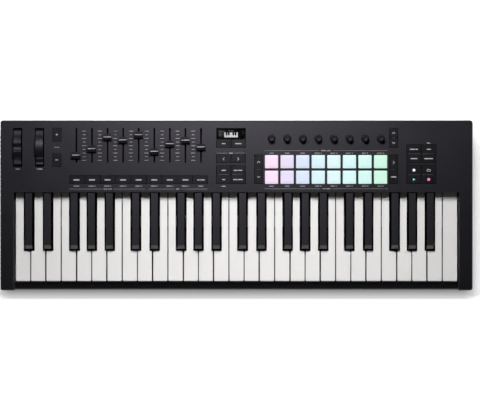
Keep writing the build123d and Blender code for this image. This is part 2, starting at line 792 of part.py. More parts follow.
def wheel(x, turn):
    """A half wheel with a finger notch and a stub axle at each side."""
    disc = axle(around(x, wheel_width), (wheel_y, wheel_z), wheel_radius)
    keep = block(around(x, wheel_width + 2), around(wheel_y, 2 * wheel_radius + 2), (wheel_z - 1.5 * shaft_radius, wheel_z + wheel_radius + 1))
    notch_z = wheel_z + wheel_radius + wheel_notch_radius - wheel_notch_depth
    body = (disc & keep) - axle(around(x, wheel_width + 2), (wheel_y, notch_z), wheel_notch_radius)
    body += axle(around(x, wheel_width + 2 * stub_length), (wheel_y, wheel_z), shaft_radius)
    return Pos(0, wheel_y, wheel_z) * Rot(turn, 0, 0) * Pos(0, -wheel_y, -wheel_z) * body


def wheel_bracket():
    """A folded bracket with an ear at each side of both wheels, and the two angle sensors."""
    solids = []
    for x in wheel_x:
        ears = []
        for side in (-1, 1):
            middle = x + side * (wheel_width / 2 + stub_length - bracket_thickness / 2 - ear_gap)
            ear = block(around(middle, bracket_thickness), around(wheel_y, bracket_depth), (floor_top, wheel_z + 2 * shaft_radius))
            bearing = Pos(middle - bracket_thickness, wheel_y, wheel_z) * Rot(0, 90, 0) * stud(
                0, 0, (0, 2 * bracket_thickness), shaft_radius + running_clearance)
            ears.append(ear - bearing)
        span = wheel_width + 2 * (stub_length - ear_gap)
        ears.append(block(around(x, span), around(wheel_y, bracket_depth), (floor_top, floor_top + bracket_thickness)))
        solids.append(joined(ears))
        sensor_x = x + wheel_width / 2 + stub_length + moving_clearance
        solids.append(block((sensor_x, sensor_x + sensor_size[0]), around(wheel_y, sensor_size[1]), around(wheel_z, sensor_size[2])))
    return solids


def display_module():
    """The display panel on its carrier, below the lens."""
    window = tuple(side - 2 * lens_ledge - display_clearance[0] for side in screen_size)
    return tile((screen_x, screen_y), window, (board_top, deck_height - lens_thickness - display_clearance[1]))


def display_lens():
    """The clear window, let into the deck."""
    size = tuple(side - 2 * lens_clearance for side in screen_size)
    return tile((screen_x, screen_y), size, (deck_height - lens_thickness, deck_height))


# Rear sockets
def midi_socket():
    """The five-pole socket, hung under the control board, whose collar comes through the rear wall."""
    body = block(around(midi_x, midi_body[0]), (socket_face - midi_body[1], socket_face),
                 (board_bottom - midi_body[2], board_bottom))
    body += bar((midi_x, midi_z), (socket_face, rear), midi_collar)
    return body - bar((midi_x, midi_z), (rear - midi_bore_depth, rear + 1), midi_bore)


def pedal_socket():
    """The jack socket for a sustain pedal, whose bush comes through the rear wall."""
    body = block(around(pedal_x, pedal_body[0]), (socket_face - pedal_body[1], socket_face),
                 (board_bottom - pedal_body[2], board_bottom))
    body += bar((pedal_x, pedal_z), (socket_face, rear), pedal_collar)
    return body - bar((pedal_x, pedal_z), (rear - pedal_bore_length, rear + 1), pedal_bore)


def usb_socket():
    """The small data and power socket, with its contact tongue."""
    mouth = rear - usb_recess
    shell = block(around(usb_x, usb_shell[0]), (mouth - usb_shell[1], mouth), (board_bottom - usb_shell[2], board_bottom))
    shell -= block(around(usb_x, usb_opening[0]), (mouth - usb_opening[1], mouth + 1), around(usb_z, usb_opening[2]))
    return shell + block(around(usb_x, usb_tongue[0]), (mouth - usb_opening[1] - usb_tongue_root, mouth - usb_opening[1] + usb_tongue[1]),
                         around(usb_z, usb_tongue[2]))


nodes = {
    "top_case": [top_case()],
    "bottom_case": [bottom_case()],
    "rubber_feet": rubber_feet(),
    "case_screws": case_screws(),
    "keybed_chassis": [keybed_chassis()],
    "key_return_springs": [key_return_springs()],
    "key_stop_felts": key_stop_felts(),
    "key_contact_board": [key_contact_board()],
    "key_contact_strips": key_contact_strips(),
    "control_board": [control_board()],
    "fader_tracks": fader_tracks(),
    "encoder_bodies": encoder_bodies(),
    "wheel_bracket": wheel_bracket(),
    "display_module": [display_module()],
    "display_lens": [display_lens()],
    "midi_socket": [midi_socket()],
    "pedal_socket": [pedal_socket()],
    "usb_socket": [usb_socket()],
    "pads": pads(),
    "pitch_wheel": [wheel(wheel_x[0], 0.0)],
    "mod_wheel": [wheel(wheel_x[1], mod_wheel_turn)],
}
nodes.update({f"keys_{note}": solids for note, solids in key_groups().items()})
nodes.update({f"fader_{number + 1}": fader(number) for number in range(fader_count)})
nodes.update({f"knob_{number + 1}": [knob(number)] for number in range(knob_count)})
nodes.update({name: button_panel(name) for name in panels})

os.makedirs("parts", exist_ok=True)
for name, pieces in nodes.items():
    solids = [solid for piece in pieces for solid in piece.solids()]
    export_step(Compound(solids), f"parts/{name}.step")
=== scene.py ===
"""The looks of a 49-key MIDI keyboard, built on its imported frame.

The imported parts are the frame: they keep their place, and get detailed finishes and, on most of them,
rounded edges. Knobs, fader caps, pads and screws are modelled again in more detail, and the printed marks,
lights, contacts and the picture on the display are added. Sizes are in millimetres, and in metres where a
finish or the studio is set up; +X is the player's right, +Y the rear panel and +Z up.
"""
from __future__ import annotations

import json
import logging
import math
import random
from dataclasses import dataclass, field
from enum import Enum
from typing import Callable, Iterable, Sequence

import bmesh
import bpy
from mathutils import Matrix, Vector

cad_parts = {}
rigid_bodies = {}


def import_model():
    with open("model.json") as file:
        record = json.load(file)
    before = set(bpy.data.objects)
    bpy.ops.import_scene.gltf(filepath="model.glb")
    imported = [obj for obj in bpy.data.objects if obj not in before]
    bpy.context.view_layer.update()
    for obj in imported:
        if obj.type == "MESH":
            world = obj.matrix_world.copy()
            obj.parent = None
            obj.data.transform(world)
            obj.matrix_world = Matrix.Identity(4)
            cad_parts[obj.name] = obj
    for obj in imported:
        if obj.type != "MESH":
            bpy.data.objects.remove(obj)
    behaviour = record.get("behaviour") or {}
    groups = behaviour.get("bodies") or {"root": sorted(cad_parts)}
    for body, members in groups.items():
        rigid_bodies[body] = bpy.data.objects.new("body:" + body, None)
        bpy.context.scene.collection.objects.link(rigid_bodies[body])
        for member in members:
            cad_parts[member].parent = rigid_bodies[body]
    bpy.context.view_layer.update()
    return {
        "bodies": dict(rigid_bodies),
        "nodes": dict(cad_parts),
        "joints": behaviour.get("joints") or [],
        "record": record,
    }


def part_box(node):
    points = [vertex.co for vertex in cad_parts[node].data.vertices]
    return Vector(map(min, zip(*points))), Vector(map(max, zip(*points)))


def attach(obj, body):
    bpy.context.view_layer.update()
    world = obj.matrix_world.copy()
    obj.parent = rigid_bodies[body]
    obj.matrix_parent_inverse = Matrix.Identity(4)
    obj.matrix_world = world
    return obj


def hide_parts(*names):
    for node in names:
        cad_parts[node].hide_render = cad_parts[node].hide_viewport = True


LOG = logging.getLogger("midi_keyboard")
MM = 0.001

Point2 = tuple[float, float]
Point3 = tuple[float, float, float]
Colour = tuple[float, float, float]
Socket = bpy.types.NodeSocket


def srgb(red: int, green: int, blue: int) -> Colour:
    """Turns a colour as it is seen, from 0 to 255, into the linear values that shaders use.

    Args:
        red: Red, 0 to 255.
        green: Green, 0 to 255.
        blue: Blue, 0 to 255.

    Returns:
        The linear colour.
    """
    def linear(value: int) -> float:
        """Turns one of the three parts linear."""
        share = value / 255
        return share / 12.92 if share <= 0.04045 else ((share + 0.055) / 1.055) ** 2.4

    return linear(red), linear(green), linear(blue)


def scaled(colour: Colour, factor: float) -> Colour:
    """Makes a colour darker, or paler up to white."""
    return tuple(min(1.0, value * factor) for value in colour)


class Slot(Enum):
    """The record's material slots."""

    CASE = "case_plastic"
    BASE = "base_plastic"
    FOOT = "foot_rubber"
    SCREW = "screw_steel"
    CHASSIS = "chassis_plastic"
    SPRING = "spring_steel"
    FELT = "stop_felt"
    BOARD = "board"
    CONTACT = "contact_silicone"
    COMPONENT = "component_plastic"
    DISPLAY = "display"
    LENS = "lens"
    SOCKET = "socket_steel"
    WHEEL = "wheel_rubber"
    PAD = "pad_silicone"
    WHITE_KEY = "white_key"
    BLACK_KEY = "black_key"
    CAP = "cap_plastic"
    BUTTON = "button_rubber"


# Shader nodes
class Nodes:
    """A tree of shader nodes in the making: a shared effect, a material or the room."""

    def __init__(self, tree: bpy.types.NodeTree) -> None:
        """Takes the tree that is built on."""
        self.tree = tree

    def feed(self, socket: Socket, value: object) -> None:
        """Joins a socket to another one, or sets its plain value.

        Args:
            socket: The socket that is fed.
            value: A socket, a plain value, or None to leave it as it is.
        """
        if isinstance(value, Socket):
            self.tree.links.new(value, socket)
        elif value is not None:
            socket.default_value = value

    def node(self, kind: str, feeds: dict[int | str, object] | None = None,
             **settings: object) -> bpy.types.Node:
        """Adds a node.

        Args:
            kind: The node's type, without the prefix that all types share.
            feeds: A socket or a plain value for each input that is set.
            settings: Properties of the node.

        Returns:
            The node.
        """
        made = self.tree.nodes.new(f"ShaderNode{kind}")
        for label, value in settings.items():
            setattr(made, label, value)
        for label, value in (feeds or {}).items():
            self.feed(made.inputs[label], value)
        return made

    def math(self, operation: str, first: Socket | float, second: Socket | float | None = None,
             clamp: bool = False) -> Socket:
        """Adds one sum of sockets or numbers, kept between 0 and 1 where it is clamped."""
        return self.node("Math", {0: first, 1: second}, operation=operation, use_clamp=clamp).outputs[0]

    def ramp(self, value: Socket, reach: Sequence[Socket | float], levels: Point2 = (0.0, 1.0),
             kind: str = "SMOOTHSTEP") -> Socket:
        """Turns a value within a reach of two limits into one between two levels."""
        feeds = zip(("Value", "From Min", "From Max", "To Min", "To Max"), (value, *reach, *levels))
        return self.node("MapRange", dict(feeds), interpolation_type=kind).outputs["Result"]

    def between(self, part: Socket, low: Socket, high: Socket) -> Socket:
        """Goes from a low value to a high one as a part of 0 grows to 1."""
        return self.math("ADD", low, self.math("MULTIPLY", self.math("SUBTRACT", high, low), part))

    def split(self, vector: Socket) -> bpy.types.NodeOutputs:
        """Gives a vector's X, Y and Z."""
        return self.node("SeparateXYZ", {0: vector}).outputs

    def place(self) -> Socket:
        """Gives the piece's own coordinates, in metres."""
        return self.node("TexCoord").outputs["Object"]

    def face(self, label: str) -> Socket:
        """Gives a fact of the face that is shaded, such as its normal or its position."""
        return self.node("NewGeometry").outputs[label]

    def noise(self, place: Socket, scale: Socket | float, detail: float = 2.0) -> Socket:
        """Adds noise from 0 to 1, with a scale in features per metre and some finer layers."""
        return self.node("TexNoise", {"Vector": place, "Scale": scale, "Detail": detail}).outputs["Fac"]

    def seen(self) -> Socket:
        """Gives 1 to rays from the camera and from mirrors and glass, and 0 to the rest.

        Returns:
            The mask.
        """
        rays = self.node("LightPath").outputs
        plain = self.math("MAXIMUM", rays["Is Camera Ray"], rays["Is Glossy Ray"])
        return self.math("MAXIMUM", plain, rays["Is Transmission Ray"])


class ShaderGroup(Nodes):
    """A shared effect in the making, with named inputs and outputs."""

    def __init__(self, name: str, inputs: dict[str, float], outputs: Sequence[str]) -> None:
        """Makes the empty group.

        Args:
            name: Name of the group.
            inputs: Name and default of each number that goes in.
            outputs: Name of each value that comes out.
        """
        super().__init__(bpy.data.node_groups.new(name, "ShaderNodeTree"))
        for label, default in inputs.items():
            socket = self.tree.interface.new_socket(label, in_out="INPUT", socket_type="NodeSocketFloat")
            socket.default_value = default
        for label in outputs:
            self.tree.interface.new_socket(label, in_out="OUTPUT", socket_type="NodeSocketFloat")
        self.entry = self.tree.nodes.new("NodeGroupInput")
        self.exit = self.tree.nodes.new("NodeGroupOutput")

    def given(self, label: str) -> Socket:
        """Gives what goes in."""
        return self.entry.outputs[label]

    def give(self, label: str, value: Socket) -> None:
        """Feeds what comes out."""
        self.feed(self.exit.inputs[label], value)


class Effect(Enum):
    """The effects that several materials share."""

    GRAIN = "moulded_grain"
    WEAR = "edge_wear"
    HANDLING = "handling_marks"
    STREAKS = "fine_streaks"
    FLANKS = "painted_flank_shade"


class Effects:
    """Builds each shared effect once."""

    COARSE_SCALE = 0.31
    COARSE_SHARE = 0.35
    EDGE_GAIN = 5.0
    PATCH_SCALE = 700.0
    PATCH_GAIN = 1.4
    PATCH_CUT = 0.25
    SMUDGE_CUT = 0.52
    SMUDGE_GAIN = 4.0
    SPECK_SCALE = 230.0
    SPECK_SIZE = 0.045
    UPWARD = 0.9

    @classmethod
    def get(cls, effect: Effect) -> bpy.types.NodeTree:
        """Gives a shared effect, and builds it the first time.

        Args:
            effect: Which effect.

        Returns:
            The node group.
        """
        builders = {Effect.GRAIN: cls.grain, Effect.WEAR: cls.wear, Effect.HANDLING: cls.handling,
                    Effect.STREAKS: cls.streaks, Effect.FLANKS: cls.flanks}
        return bpy.data.node_groups.get(effect.value) or builders[effect]()

    @staticmethod
    def grain() -> bpy.types.NodeTree:
        """Fine moulded grain with a slow mottle: the texture of a spark-eroded mould.

        Returns:
            The node group.
        """
        group = ShaderGroup(Effect.GRAIN.value, {"Scale": 2200.0, "Mottle Scale": 60.0}, ("Height", "Mottle"))
        place, scale = group.place(), group.given("Scale")
        fine = group.math("MULTIPLY", group.noise(place, scale), 1 - Effects.COARSE_SHARE)
        wide = group.noise(place, group.math("MULTIPLY", scale, Effects.COARSE_SCALE), 1.0)
        group.give("Height", group.math("ADD", fine, group.math("MULTIPLY", wide, Effects.COARSE_SHARE)))
        group.give("Mottle", group.noise(place, group.given("Mottle Scale"), 3.0))
        return group.tree

    @staticmethod
    def wear() -> bpy.types.NodeTree:
        """Edges polished by handling: 1 on worn edges, broken up by noise.

        Returns:
            The node group.
        """
        group = ShaderGroup(Effect.WEAR.value, {"Width": 0.0007, "Amount": 1.0}, ("Mask",))
        bevel = group.node("Bevel", {"Radius": group.given("Width")}, samples=4)
        normals = {0: bevel.outputs["Normal"], 1: group.face("True Normal")}
        dot = group.node("VectorMath", normals, operation="DOT_PRODUCT")
        turn = group.math("SUBTRACT", 1.0, dot.outputs["Value"])
        edge = group.math("MULTIPLY", turn, Effects.EDGE_GAIN, True)
        cloud = group.noise(group.place(), Effects.PATCH_SCALE, 3.0)
        patches = group.math("MULTIPLY", cloud, Effects.PATCH_GAIN)
        mask = group.math("MULTIPLY", edge, group.math("SUBTRACT", patches, Effects.PATCH_CUT, True))
        group.give("Mask", group.math("MULTIPLY", mask, group.given("Amount"), True))
        return group.tree

    @staticmethod
    def handling() -> bpy.types.NodeTree:
        """Faint smudges from fingers, and dust specks that lie on upward faces.

        Returns:
            The node group.
        """
        group = ShaderGroup(Effect.HANDLING.value, {"Smudge Scale": 28.0, "Dust": 1.0}, ("Smudge", "Dust"))
        place = group.place()
        patch = group.noise(place, group.given("Smudge Scale"), 4.0)
        smudge = group.math("SUBTRACT", patch, Effects.SMUDGE_CUT, True)
        group.give("Smudge", group.math("MULTIPLY", smudge, Effects.SMUDGE_GAIN, True))
        cells = group.node("TexVoronoi", {"Scale": Effects.SPECK_SCALE, "Vector": place})
        speck = group.math("LESS_THAN", cells.outputs["Distance"], Effects.SPECK_SIZE)
        upward = group.math("GREATER_THAN", group.split(group.face("True Normal"))["Z"], Effects.UPWARD)
        dust = group.math("MULTIPLY", speck, upward)
        group.give("Dust", group.math("MULTIPLY", dust, group.given("Dust"), True))
        return group.tree

    @staticmethod
    def streaks() -> bpy.types.NodeTree:
        """Fine drawn lines along X: brushed metal and combed fibres.

        Returns:
            The node group.
        """
        group = ShaderGroup(Effect.STREAKS.value, {"Scale": 900.0, "Stretch": 0.02}, ("Streak",))
        weights = group.node("CombineXYZ", {"X": group.given("Stretch"), "Y": 1.0, "Z": 1.0})
        place = group.node("VectorMath", {0: group.place(), 1: weights.outputs[0]}, operation="MULTIPLY")
        group.give("Streak", group.noise(place.outputs[0], group.given("Scale"), 3.0))
        return group.tree

    @staticmethod
    def flanks() -> bpy.types.NodeTree:
        """Faces and rounded edges that look along X: the mask for painted shade, standing for the shade that
        close neighbours cast on them.

        Returns:
            The node group.
        """
        group = ShaderGroup(Effect.FLANKS.value, {"Start": 0.06, "End": 0.36}, ("Mask",))
        sideways = group.math("ABSOLUTE", group.split(group.face("Normal"))["X"])
        group.give("Mask", group.ramp(sideways, (group.given("Start"), group.given("End"))))
        return group.tree


# Finishes
class Shader(Nodes):
    """A material in the making around one Principled BSDF."""

    def __init__(self, name: str) -> None:
        """Makes the material and finds its shader.

        Args:
            name: Name of the material.
        """
        self.material = bpy.data.materials.new(name)
        self.material.use_nodes = True
        super().__init__(self.material.node_tree)
        self.surface = self.tree.nodes["Principled BSDF"]

    def wire(self, **values: object) -> None:
        """Feeds the shader's own sockets; an underscore in a name stands for a space."""
        for label, value in values.items():
            self.feed(self.surface.inputs[label.replace("_", " ")], value)

    def effect(self, effect: Effect, **values: float) -> bpy.types.NodeOutputs:
        """Places a shared effect and gives what it puts out; an underscore stands for a space."""
        feeds = {label.replace("_", " "): value for label, value in values.items()}
        return self.node("Group", feeds, node_tree=Effects.get(effect)).outputs

    def blend(self, mask: Socket, low: Socket | Colour, high: Socket | Colour) -> Socket:
        """Mixes two colours by a mask.

        Args:
            mask: 0 for the first colour, 1 for the second.
            low: A colour or a socket.
            high: A colour or a socket.

        Returns:
            The mixed colour.
        """
        made = self.node("Mix", {"Factor": mask}, data_type="RGBA")
        inputs = [socket for socket in made.inputs if socket.type == "RGBA"]
        for socket, value in zip(inputs, (low, high)):
            self.feed(socket, value if isinstance(value, Socket) else (*value, 1.0))
        return next(socket for socket in made.outputs if socket.type == "RGBA")

    def span(self, mask: Socket, low: float, high: float) -> Socket:
        """Turns a mask from 0 to 1 into a value between two limits."""
        return self.ramp(mask, (0.0, 1.0), (low, high), "LINEAR")

    def bump(self, height: Socket, depth: float) -> None:
        """Feeds the shader's normal from a height of 0 to 1, which stands for a depth in metres."""
        made = self.node("Bump", {"Strength": 1.0, "Distance": depth, "Height": height})
        self.wire(Normal=made.outputs["Normal"])


@dataclass(frozen=True)
class Finish:
    """A finish that pieces can be dressed in. Each kind says how its shader is built."""

    name: str
    slot: Slot
    colour: Colour
    roughness: float = 0.5

    def material(self) -> bpy.types.Material:
        """Gives the material, and builds it the first time.

        Returns:
            The material.
        """
        made = bpy.data.materials.get(self.name)
        if made is None:
            shader = Shader(self.name)
            self.shade(shader)
            made = shader.material
            made.diffuse_color = (*self.colour, 1.0)
        return made

    def shade(self, shader: Shader) -> None:
        """Builds the shader's nodes."""
        raise NotImplementedError


@dataclass(frozen=True)
class MouldedPlastic(Finish):
    """Hard moulded plastic with a fine grain, worn edges, faint smudges and dust."""

    grain_scale: float = 2200.0
    grain_depth: float = 0.00003
    mottle: float = 0.12
    worn: Colour = (0.05, 0.05, 0.055)
    smudge: float = 0.08
    dust: float = 1.0
    dust_lift: float = 0.05
    specular: float = 0.5

    def shade(self, shader: Shader) -> None:
        """Builds grain, mottle, edge wear, smudges and dust.

        Args:
            shader: The shader in the making.
        """
        grain = shader.effect(Effect.GRAIN, Scale=self.grain_scale)
        wear = shader.effect(Effect.WEAR)
        marks = shader.effect(Effect.HANDLING, Dust=self.dust)
        deep, pale = scaled(self.colour, 1 - self.mottle), scaled(self.colour, 1 + self.mottle)
        base = shader.blend(wear["Mask"], shader.blend(grain["Mottle"], deep, pale), self.worn)
        dusty = tuple(value + self.dust_lift for value in self.colour)
        shader.wire(Base_Color=shader.blend(marks["Dust"], base, dusty), Specular_IOR_Level=self.specular,
                    Roughness=shader.span(marks["Smudge"], self.roughness, self.roughness - self.smudge))
        shader.bump(grain["Height"], self.grain_depth)


@dataclass(frozen=True)
class SoftRubber(Finish):
    """Matte silicone or rubber: a powdery sheen, a soft grain, and edges rubbed shiny."""

    sheen: float = 0.15
    rubbed: Colour = (0.03, 0.03, 0.033)
    specular: float = 0.4
    grain_depth: float = 0.00002

    def shade(self, shader: Shader) -> None:
        """Builds a cloudy colour, a soft grain and rubbed edges.

        Args:
            shader: The shader in the making.
        """
        grain = shader.effect(Effect.GRAIN, Scale=1500.0, Mottle_Scale=140.0)
        wear = shader.effect(Effect.WEAR, Width=0.0005, Amount=0.8)
        marks = shader.effect(Effect.HANDLING, Smudge_Scale=70.0)
        base = shader.blend(grain["Mottle"], scaled(self.colour, 0.85), scaled(self.colour, 1.15))
        shader.wire(Base_Color=shader.blend(wear["Mask"], base, self.rubbed), Sheen_Weight=self.sheen,
                    Roughness=shader.span(marks["Smudge"], self.roughness, self.roughness - 0.1),
                    Sheen_Roughness=0.4, Specular_IOR_Level=self.specular)
        shader.bump(grain["Height"], self.grain_depth)


@dataclass(frozen=True)
class KeyPlastic(Finish):
    """Polished or satin key plastic, with flow lines from moulding, rub marks and painted shade on its
    flanks.
    """

    tint: Colour = (0.8, 0.79, 0.76)
    # Painted shade: the colour of faces that look along X, standing for the shade in the gaps between keys.
    flank: Colour = (0.2, 0.2, 0.2)
    coat: float = 0.0
    grain_depth: float = 0.00001
    specular: float = 0.5

    def shade(self, shader: Shader) -> None:
        """Builds a faint cloud in the colour, rub marks in the gloss, painted shade on the flanks and a fine
        grain.

        Args:
            shader: The shader in the making.
        """
        grain = shader.effect(Effect.GRAIN, Scale=1600.0, Mottle_Scale=22.0)
        streaks = shader.effect(Effect.STREAKS, Scale=260.0, Stretch=6.0)
        wear = shader.effect(Effect.WEAR, Width=0.0006, Amount=0.6)
        base = shader.blend(grain["Mottle"], self.colour, self.tint)
        base = shader.blend(wear["Mask"], base, scaled(self.colour, 1.04))
        # Painted shade: faces that look along X take the flank colour.
        shader.wire(Base_Color=shader.blend(shader.effect(Effect.FLANKS)["Mask"], base, self.flank),
                    Roughness=shader.span(streaks["Streak"], self.roughness - 0.04, self.roughness + 0.06),
                    Specular_IOR_Level=self.specular, Coat_Weight=self.coat, Coat_Roughness=0.08)
        shader.bump(grain["Height"], self.grain_depth)


@dataclass(frozen=True)
class ScreenGlass(Finish):
    """The dark face of a display, with a soft painted reflection in its colour that fades from its left edge.
    """

    painted_glare: Colour = (0.03, 0.03, 0.032)
    reach: Point2 = (-0.026, -0.012)

    def shade(self, shader: Shader) -> None:
        """Builds a painted reflection in the colour and fine marks in the gloss.

        Args:
            shader: The shader in the making.
        """
        grain = shader.effect(Effect.GRAIN, Scale=1800.0, Mottle_Scale=90.0)
        # Painted reflection: the colour is pale at the left edge and fades to the dark glass.
        along = shader.ramp(shader.split(shader.face("Position"))["X"], self.reach)
        shader.wire(Base_Color=shader.blend(along, self.painted_glare, self.colour), Specular_IOR_Level=0.1,
                    Roughness=shader.span(grain["Mottle"], self.roughness - 0.02, self.roughness + 0.04))
        shader.bump(grain["Height"], 0.000002)


@dataclass(frozen=True)
class BrushedMetal(Finish):
    """Sheet or turned metal with drawn lines, and darker hollows."""

    dark: Colour = (0.2, 0.2, 0.2)

    def shade(self, shader: Shader) -> None:
        """Builds drawn lines in colour, gloss and relief.

        Args:
            shader: The shader in the making.
        """
        streak = shader.effect(Effect.STREAKS)["Streak"]
        wear = shader.effect(Effect.WEAR, Width=0.0003)
        base = shader.blend(streak, self.dark, self.colour)
        shader.wire(Base_Color=shader.blend(wear["Mask"], base, scaled(self.colour, 1.3)), Metallic=1.0,
                    Roughness=shader.span(streak, self.roughness + 0.12, self.roughness - 0.05))
        shader.bump(streak, 0.00001)


@dataclass(frozen=True)
class Felt(Finish):
    """Pressed wool felt: tangled fibres and a soft sheen."""

    def shade(self, shader: Shader) -> None:
        """Builds fibres in colour and relief.

        Args:
            shader: The shader in the making.
        """
        fibres = shader.effect(Effect.STREAKS, Scale=1400.0, Stretch=0.35)["Streak"]
        cloud = shader.effect(Effect.GRAIN, Scale=900.0, Mottle_Scale=180.0)
        base = shader.blend(fibres, scaled(self.colour, 0.6), scaled(self.colour, 1.3))
        shader.wire(Base_Color=shader.blend(cloud["Mottle"], base, self.colour), Sheen_Weight=0.5,
                    Roughness=shader.span(fibres, self.roughness, self.roughness + 0.15), Sheen_Roughness=0.5)
        shader.bump(fibres, 0.0003)


@dataclass(frozen=True)
class Laminate(Finish):
    """A circuit board: solder mask over a pattern of copper tracks."""

    copper: Colour = (0.02, 0.12, 0.05)

    def shade(self, shader: Shader) -> None:
        """Builds tracks that show through the mask, and the gloss of the mask.

        Args:
            shader: The shader in the making.
        """
        tracks = shader.node("TexBrick", {
            "Vector": shader.place(), "Scale": 90.0, "Mortar Size": 0.06, "Color1": (*self.colour, 1.0),
            "Color2": (*scaled(self.colour, 0.8), 1.0), "Mortar": (*self.copper, 1.0),
        }).outputs
        grain = shader.effect(Effect.GRAIN, Scale=1200.0)
        shader.wire(Base_Color=tracks["Color"],
                    Roughness=shader.span(grain["Mottle"], self.roughness - 0.05, self.roughness + 0.1))
        shader.bump(tracks["Fac"], 0.00003)


@dataclass(frozen=True)
class GlowingSilicone(Finish):
    """Milky silicone lit from below, denser at its rim, with a faint grain."""

    strength: float = 0.75

    def shade(self, shader: Shader) -> None:
        """Builds the glow through the silicone and its soft surface.

        Args:
            shader: The shader in the making.
        """
        grain = shader.effect(Effect.GRAIN, Scale=900.0, Mottle_Scale=260.0)
        wear = shader.effect(Effect.WEAR, Width=0.0009, Amount=0.9)
        cloud = grain["Mottle"]
        glow = shader.blend(cloud, scaled(self.colour, 0.93), scaled(self.colour, 1.02))
        rim = tuple(value ** 1.5 * 0.92 for value in self.colour)
        milk = tuple(0.1 + 0.12 * value for value in self.colour)
        shader.wire(Emission_Color=shader.blend(wear["Mask"], glow, rim), Emission_Strength=self.strength,
                    Base_Color=shader.blend(cloud, milk, scaled(milk, 1.1)),
                    Roughness=shader.span(cloud, self.roughness - 0.05, self.roughness + 0.05),
                    Sheen_Weight=0.05, Specular_IOR_Level=0.3)
        shader.bump(grain["Height"], 0.00002)


@dataclass(frozen=True)
class ClearLens(Finish):
    """A hard clear window with faint wipe marks."""

    def shade(self, shader: Shader) -> None:
        """Builds clear plastic with marks in its gloss.

        Args:
            shader: The shader in the making.
        """
        marks = shader.effect(Effect.HANDLING, Smudge_Scale=45.0, Dust=0.0)
        shader.wire(Base_Color=(*self.colour, 1.0), Transmission_Weight=1.0, IOR=1.49, Metallic=0.0,
                    Roughness=shader.span(marks["Smudge"], self.roughness, self.roughness + 0.05))


@dataclass(frozen=True)
class Ink(Finish):
    """Screen-printed ink, slightly uneven, with worn patches."""

    worn: Colour = (0.05, 0.05, 0.055)

    def shade(self, shader: Shader) -> None:
        """Builds uneven coverage and a dry surface.

        Args:
            shader: The shader in the making.
        """
        grain = shader.effect(Effect.GRAIN, Scale=1800.0, Mottle_Scale=300.0)
        marks = shader.effect(Effect.HANDLING, Smudge_Scale=220.0, Dust=0.0)
        base = shader.blend(grain["Mottle"], scaled(self.colour, 0.85), self.colour)
        patch = shader.span(marks["Smudge"], 0.0, 0.25)
        shader.wire(Base_Color=shader.blend(patch, base, self.worn),
                    Roughness=shader.span(grain["Mottle"], self.roughness, self.roughness + 0.15))
        shader.bump(grain["Height"], 0.00001)


@dataclass(frozen=True)
class LitMark(Finish):
    """A mark cut through the paint of a button, lit from below."""

    strength: float = 0.8

    def shade(self, shader: Shader) -> None:
        """Builds an uneven light behind a soft surface.

        Args:
            shader: The shader in the making.
        """
        grain = shader.effect(Effect.GRAIN, Scale=1500.0, Mottle_Scale=420.0)
        cloud = grain["Mottle"]
        shader.wire(Emission_Color=shader.blend(cloud, scaled(self.colour, 0.82), self.colour),
                    Base_Color=shader.blend(cloud, scaled(self.colour, 0.2), scaled(self.colour, 0.3)),
                    Roughness=shader.span(cloud, self.roughness - 0.05, self.roughness + 0.1),
                    Emission_Strength=self.strength)
        shader.bump(grain["Height"], 0.00001)


PLASTIC = MouldedPlastic("case_satin_black", Slot.CASE, srgb(6, 6, 10), 0.42,
                         worn=srgb(30, 30, 34), smudge=0.04)
BASE_PLASTIC = MouldedPlastic("base_textured_black", Slot.BASE, srgb(15, 15, 18), 0.6, 1500.0, 0.00006)
CHASSIS_PLASTIC = MouldedPlastic("chassis_dark_plastic", Slot.CHASSIS, srgb(40, 40, 42), 0.6, 1200.0, 0.00004)
COMPONENT_PLASTIC = MouldedPlastic("component_black_plastic", Slot.COMPONENT, srgb(22, 22, 24), 0.5, 1700.0)
CAP_PLASTIC = MouldedPlastic("cap_black_plastic", Slot.CAP, srgb(16, 16, 18), 0.48, 1900.0,
                             worn=srgb(30, 30, 33), specular=0.3)
KNOB_PLASTIC = MouldedPlastic("knob_black_plastic", Slot.CAP, srgb(17, 17, 19), 0.5, 1700.0,
                              worn=srgb(30, 30, 33), specular=0.22)
# The last colour given to each key finish is its painted shade on the flanks.
WHITE_KEYS = KeyPlastic("white_key_gloss", Slot.WHITE_KEY, srgb(243, 241, 240), 0.24, srgb(239, 237, 235),
                        srgb(52, 50, 49))
BLACK_KEYS = KeyPlastic("black_key_satin", Slot.BLACK_KEY, srgb(8, 8, 12), 0.4, srgb(11, 11, 15),
                        srgb(5, 5, 7), grain_depth=0.00003, specular=0.58)
# Painted highlight: the nose is a paler copy of the key plastic, standing for the light its slope catches;
# its lower roughness and coat are real gloss.
BLACK_NOSE_HIGHLIGHT = KeyPlastic("black_key_nose_painted_highlight", Slot.BLACK_KEY, srgb(20, 19, 22), 0.3, srgb(24, 23, 26),
                         srgb(9, 9, 10), 0.4, 0.00002)
# Painted shade: a dark copy of the key plastic with no reflection, for the keys' sides, so that they stay as
# dark as shade makes them.
BLACK_FLANK_SHADE = MouldedPlastic("black_key_flank_painted_shade", Slot.BLACK_KEY, srgb(11, 11, 12), 0.9,
                              worn=srgb(14, 14, 15), smudge=0.02, dust=0.0, specular=0.0)
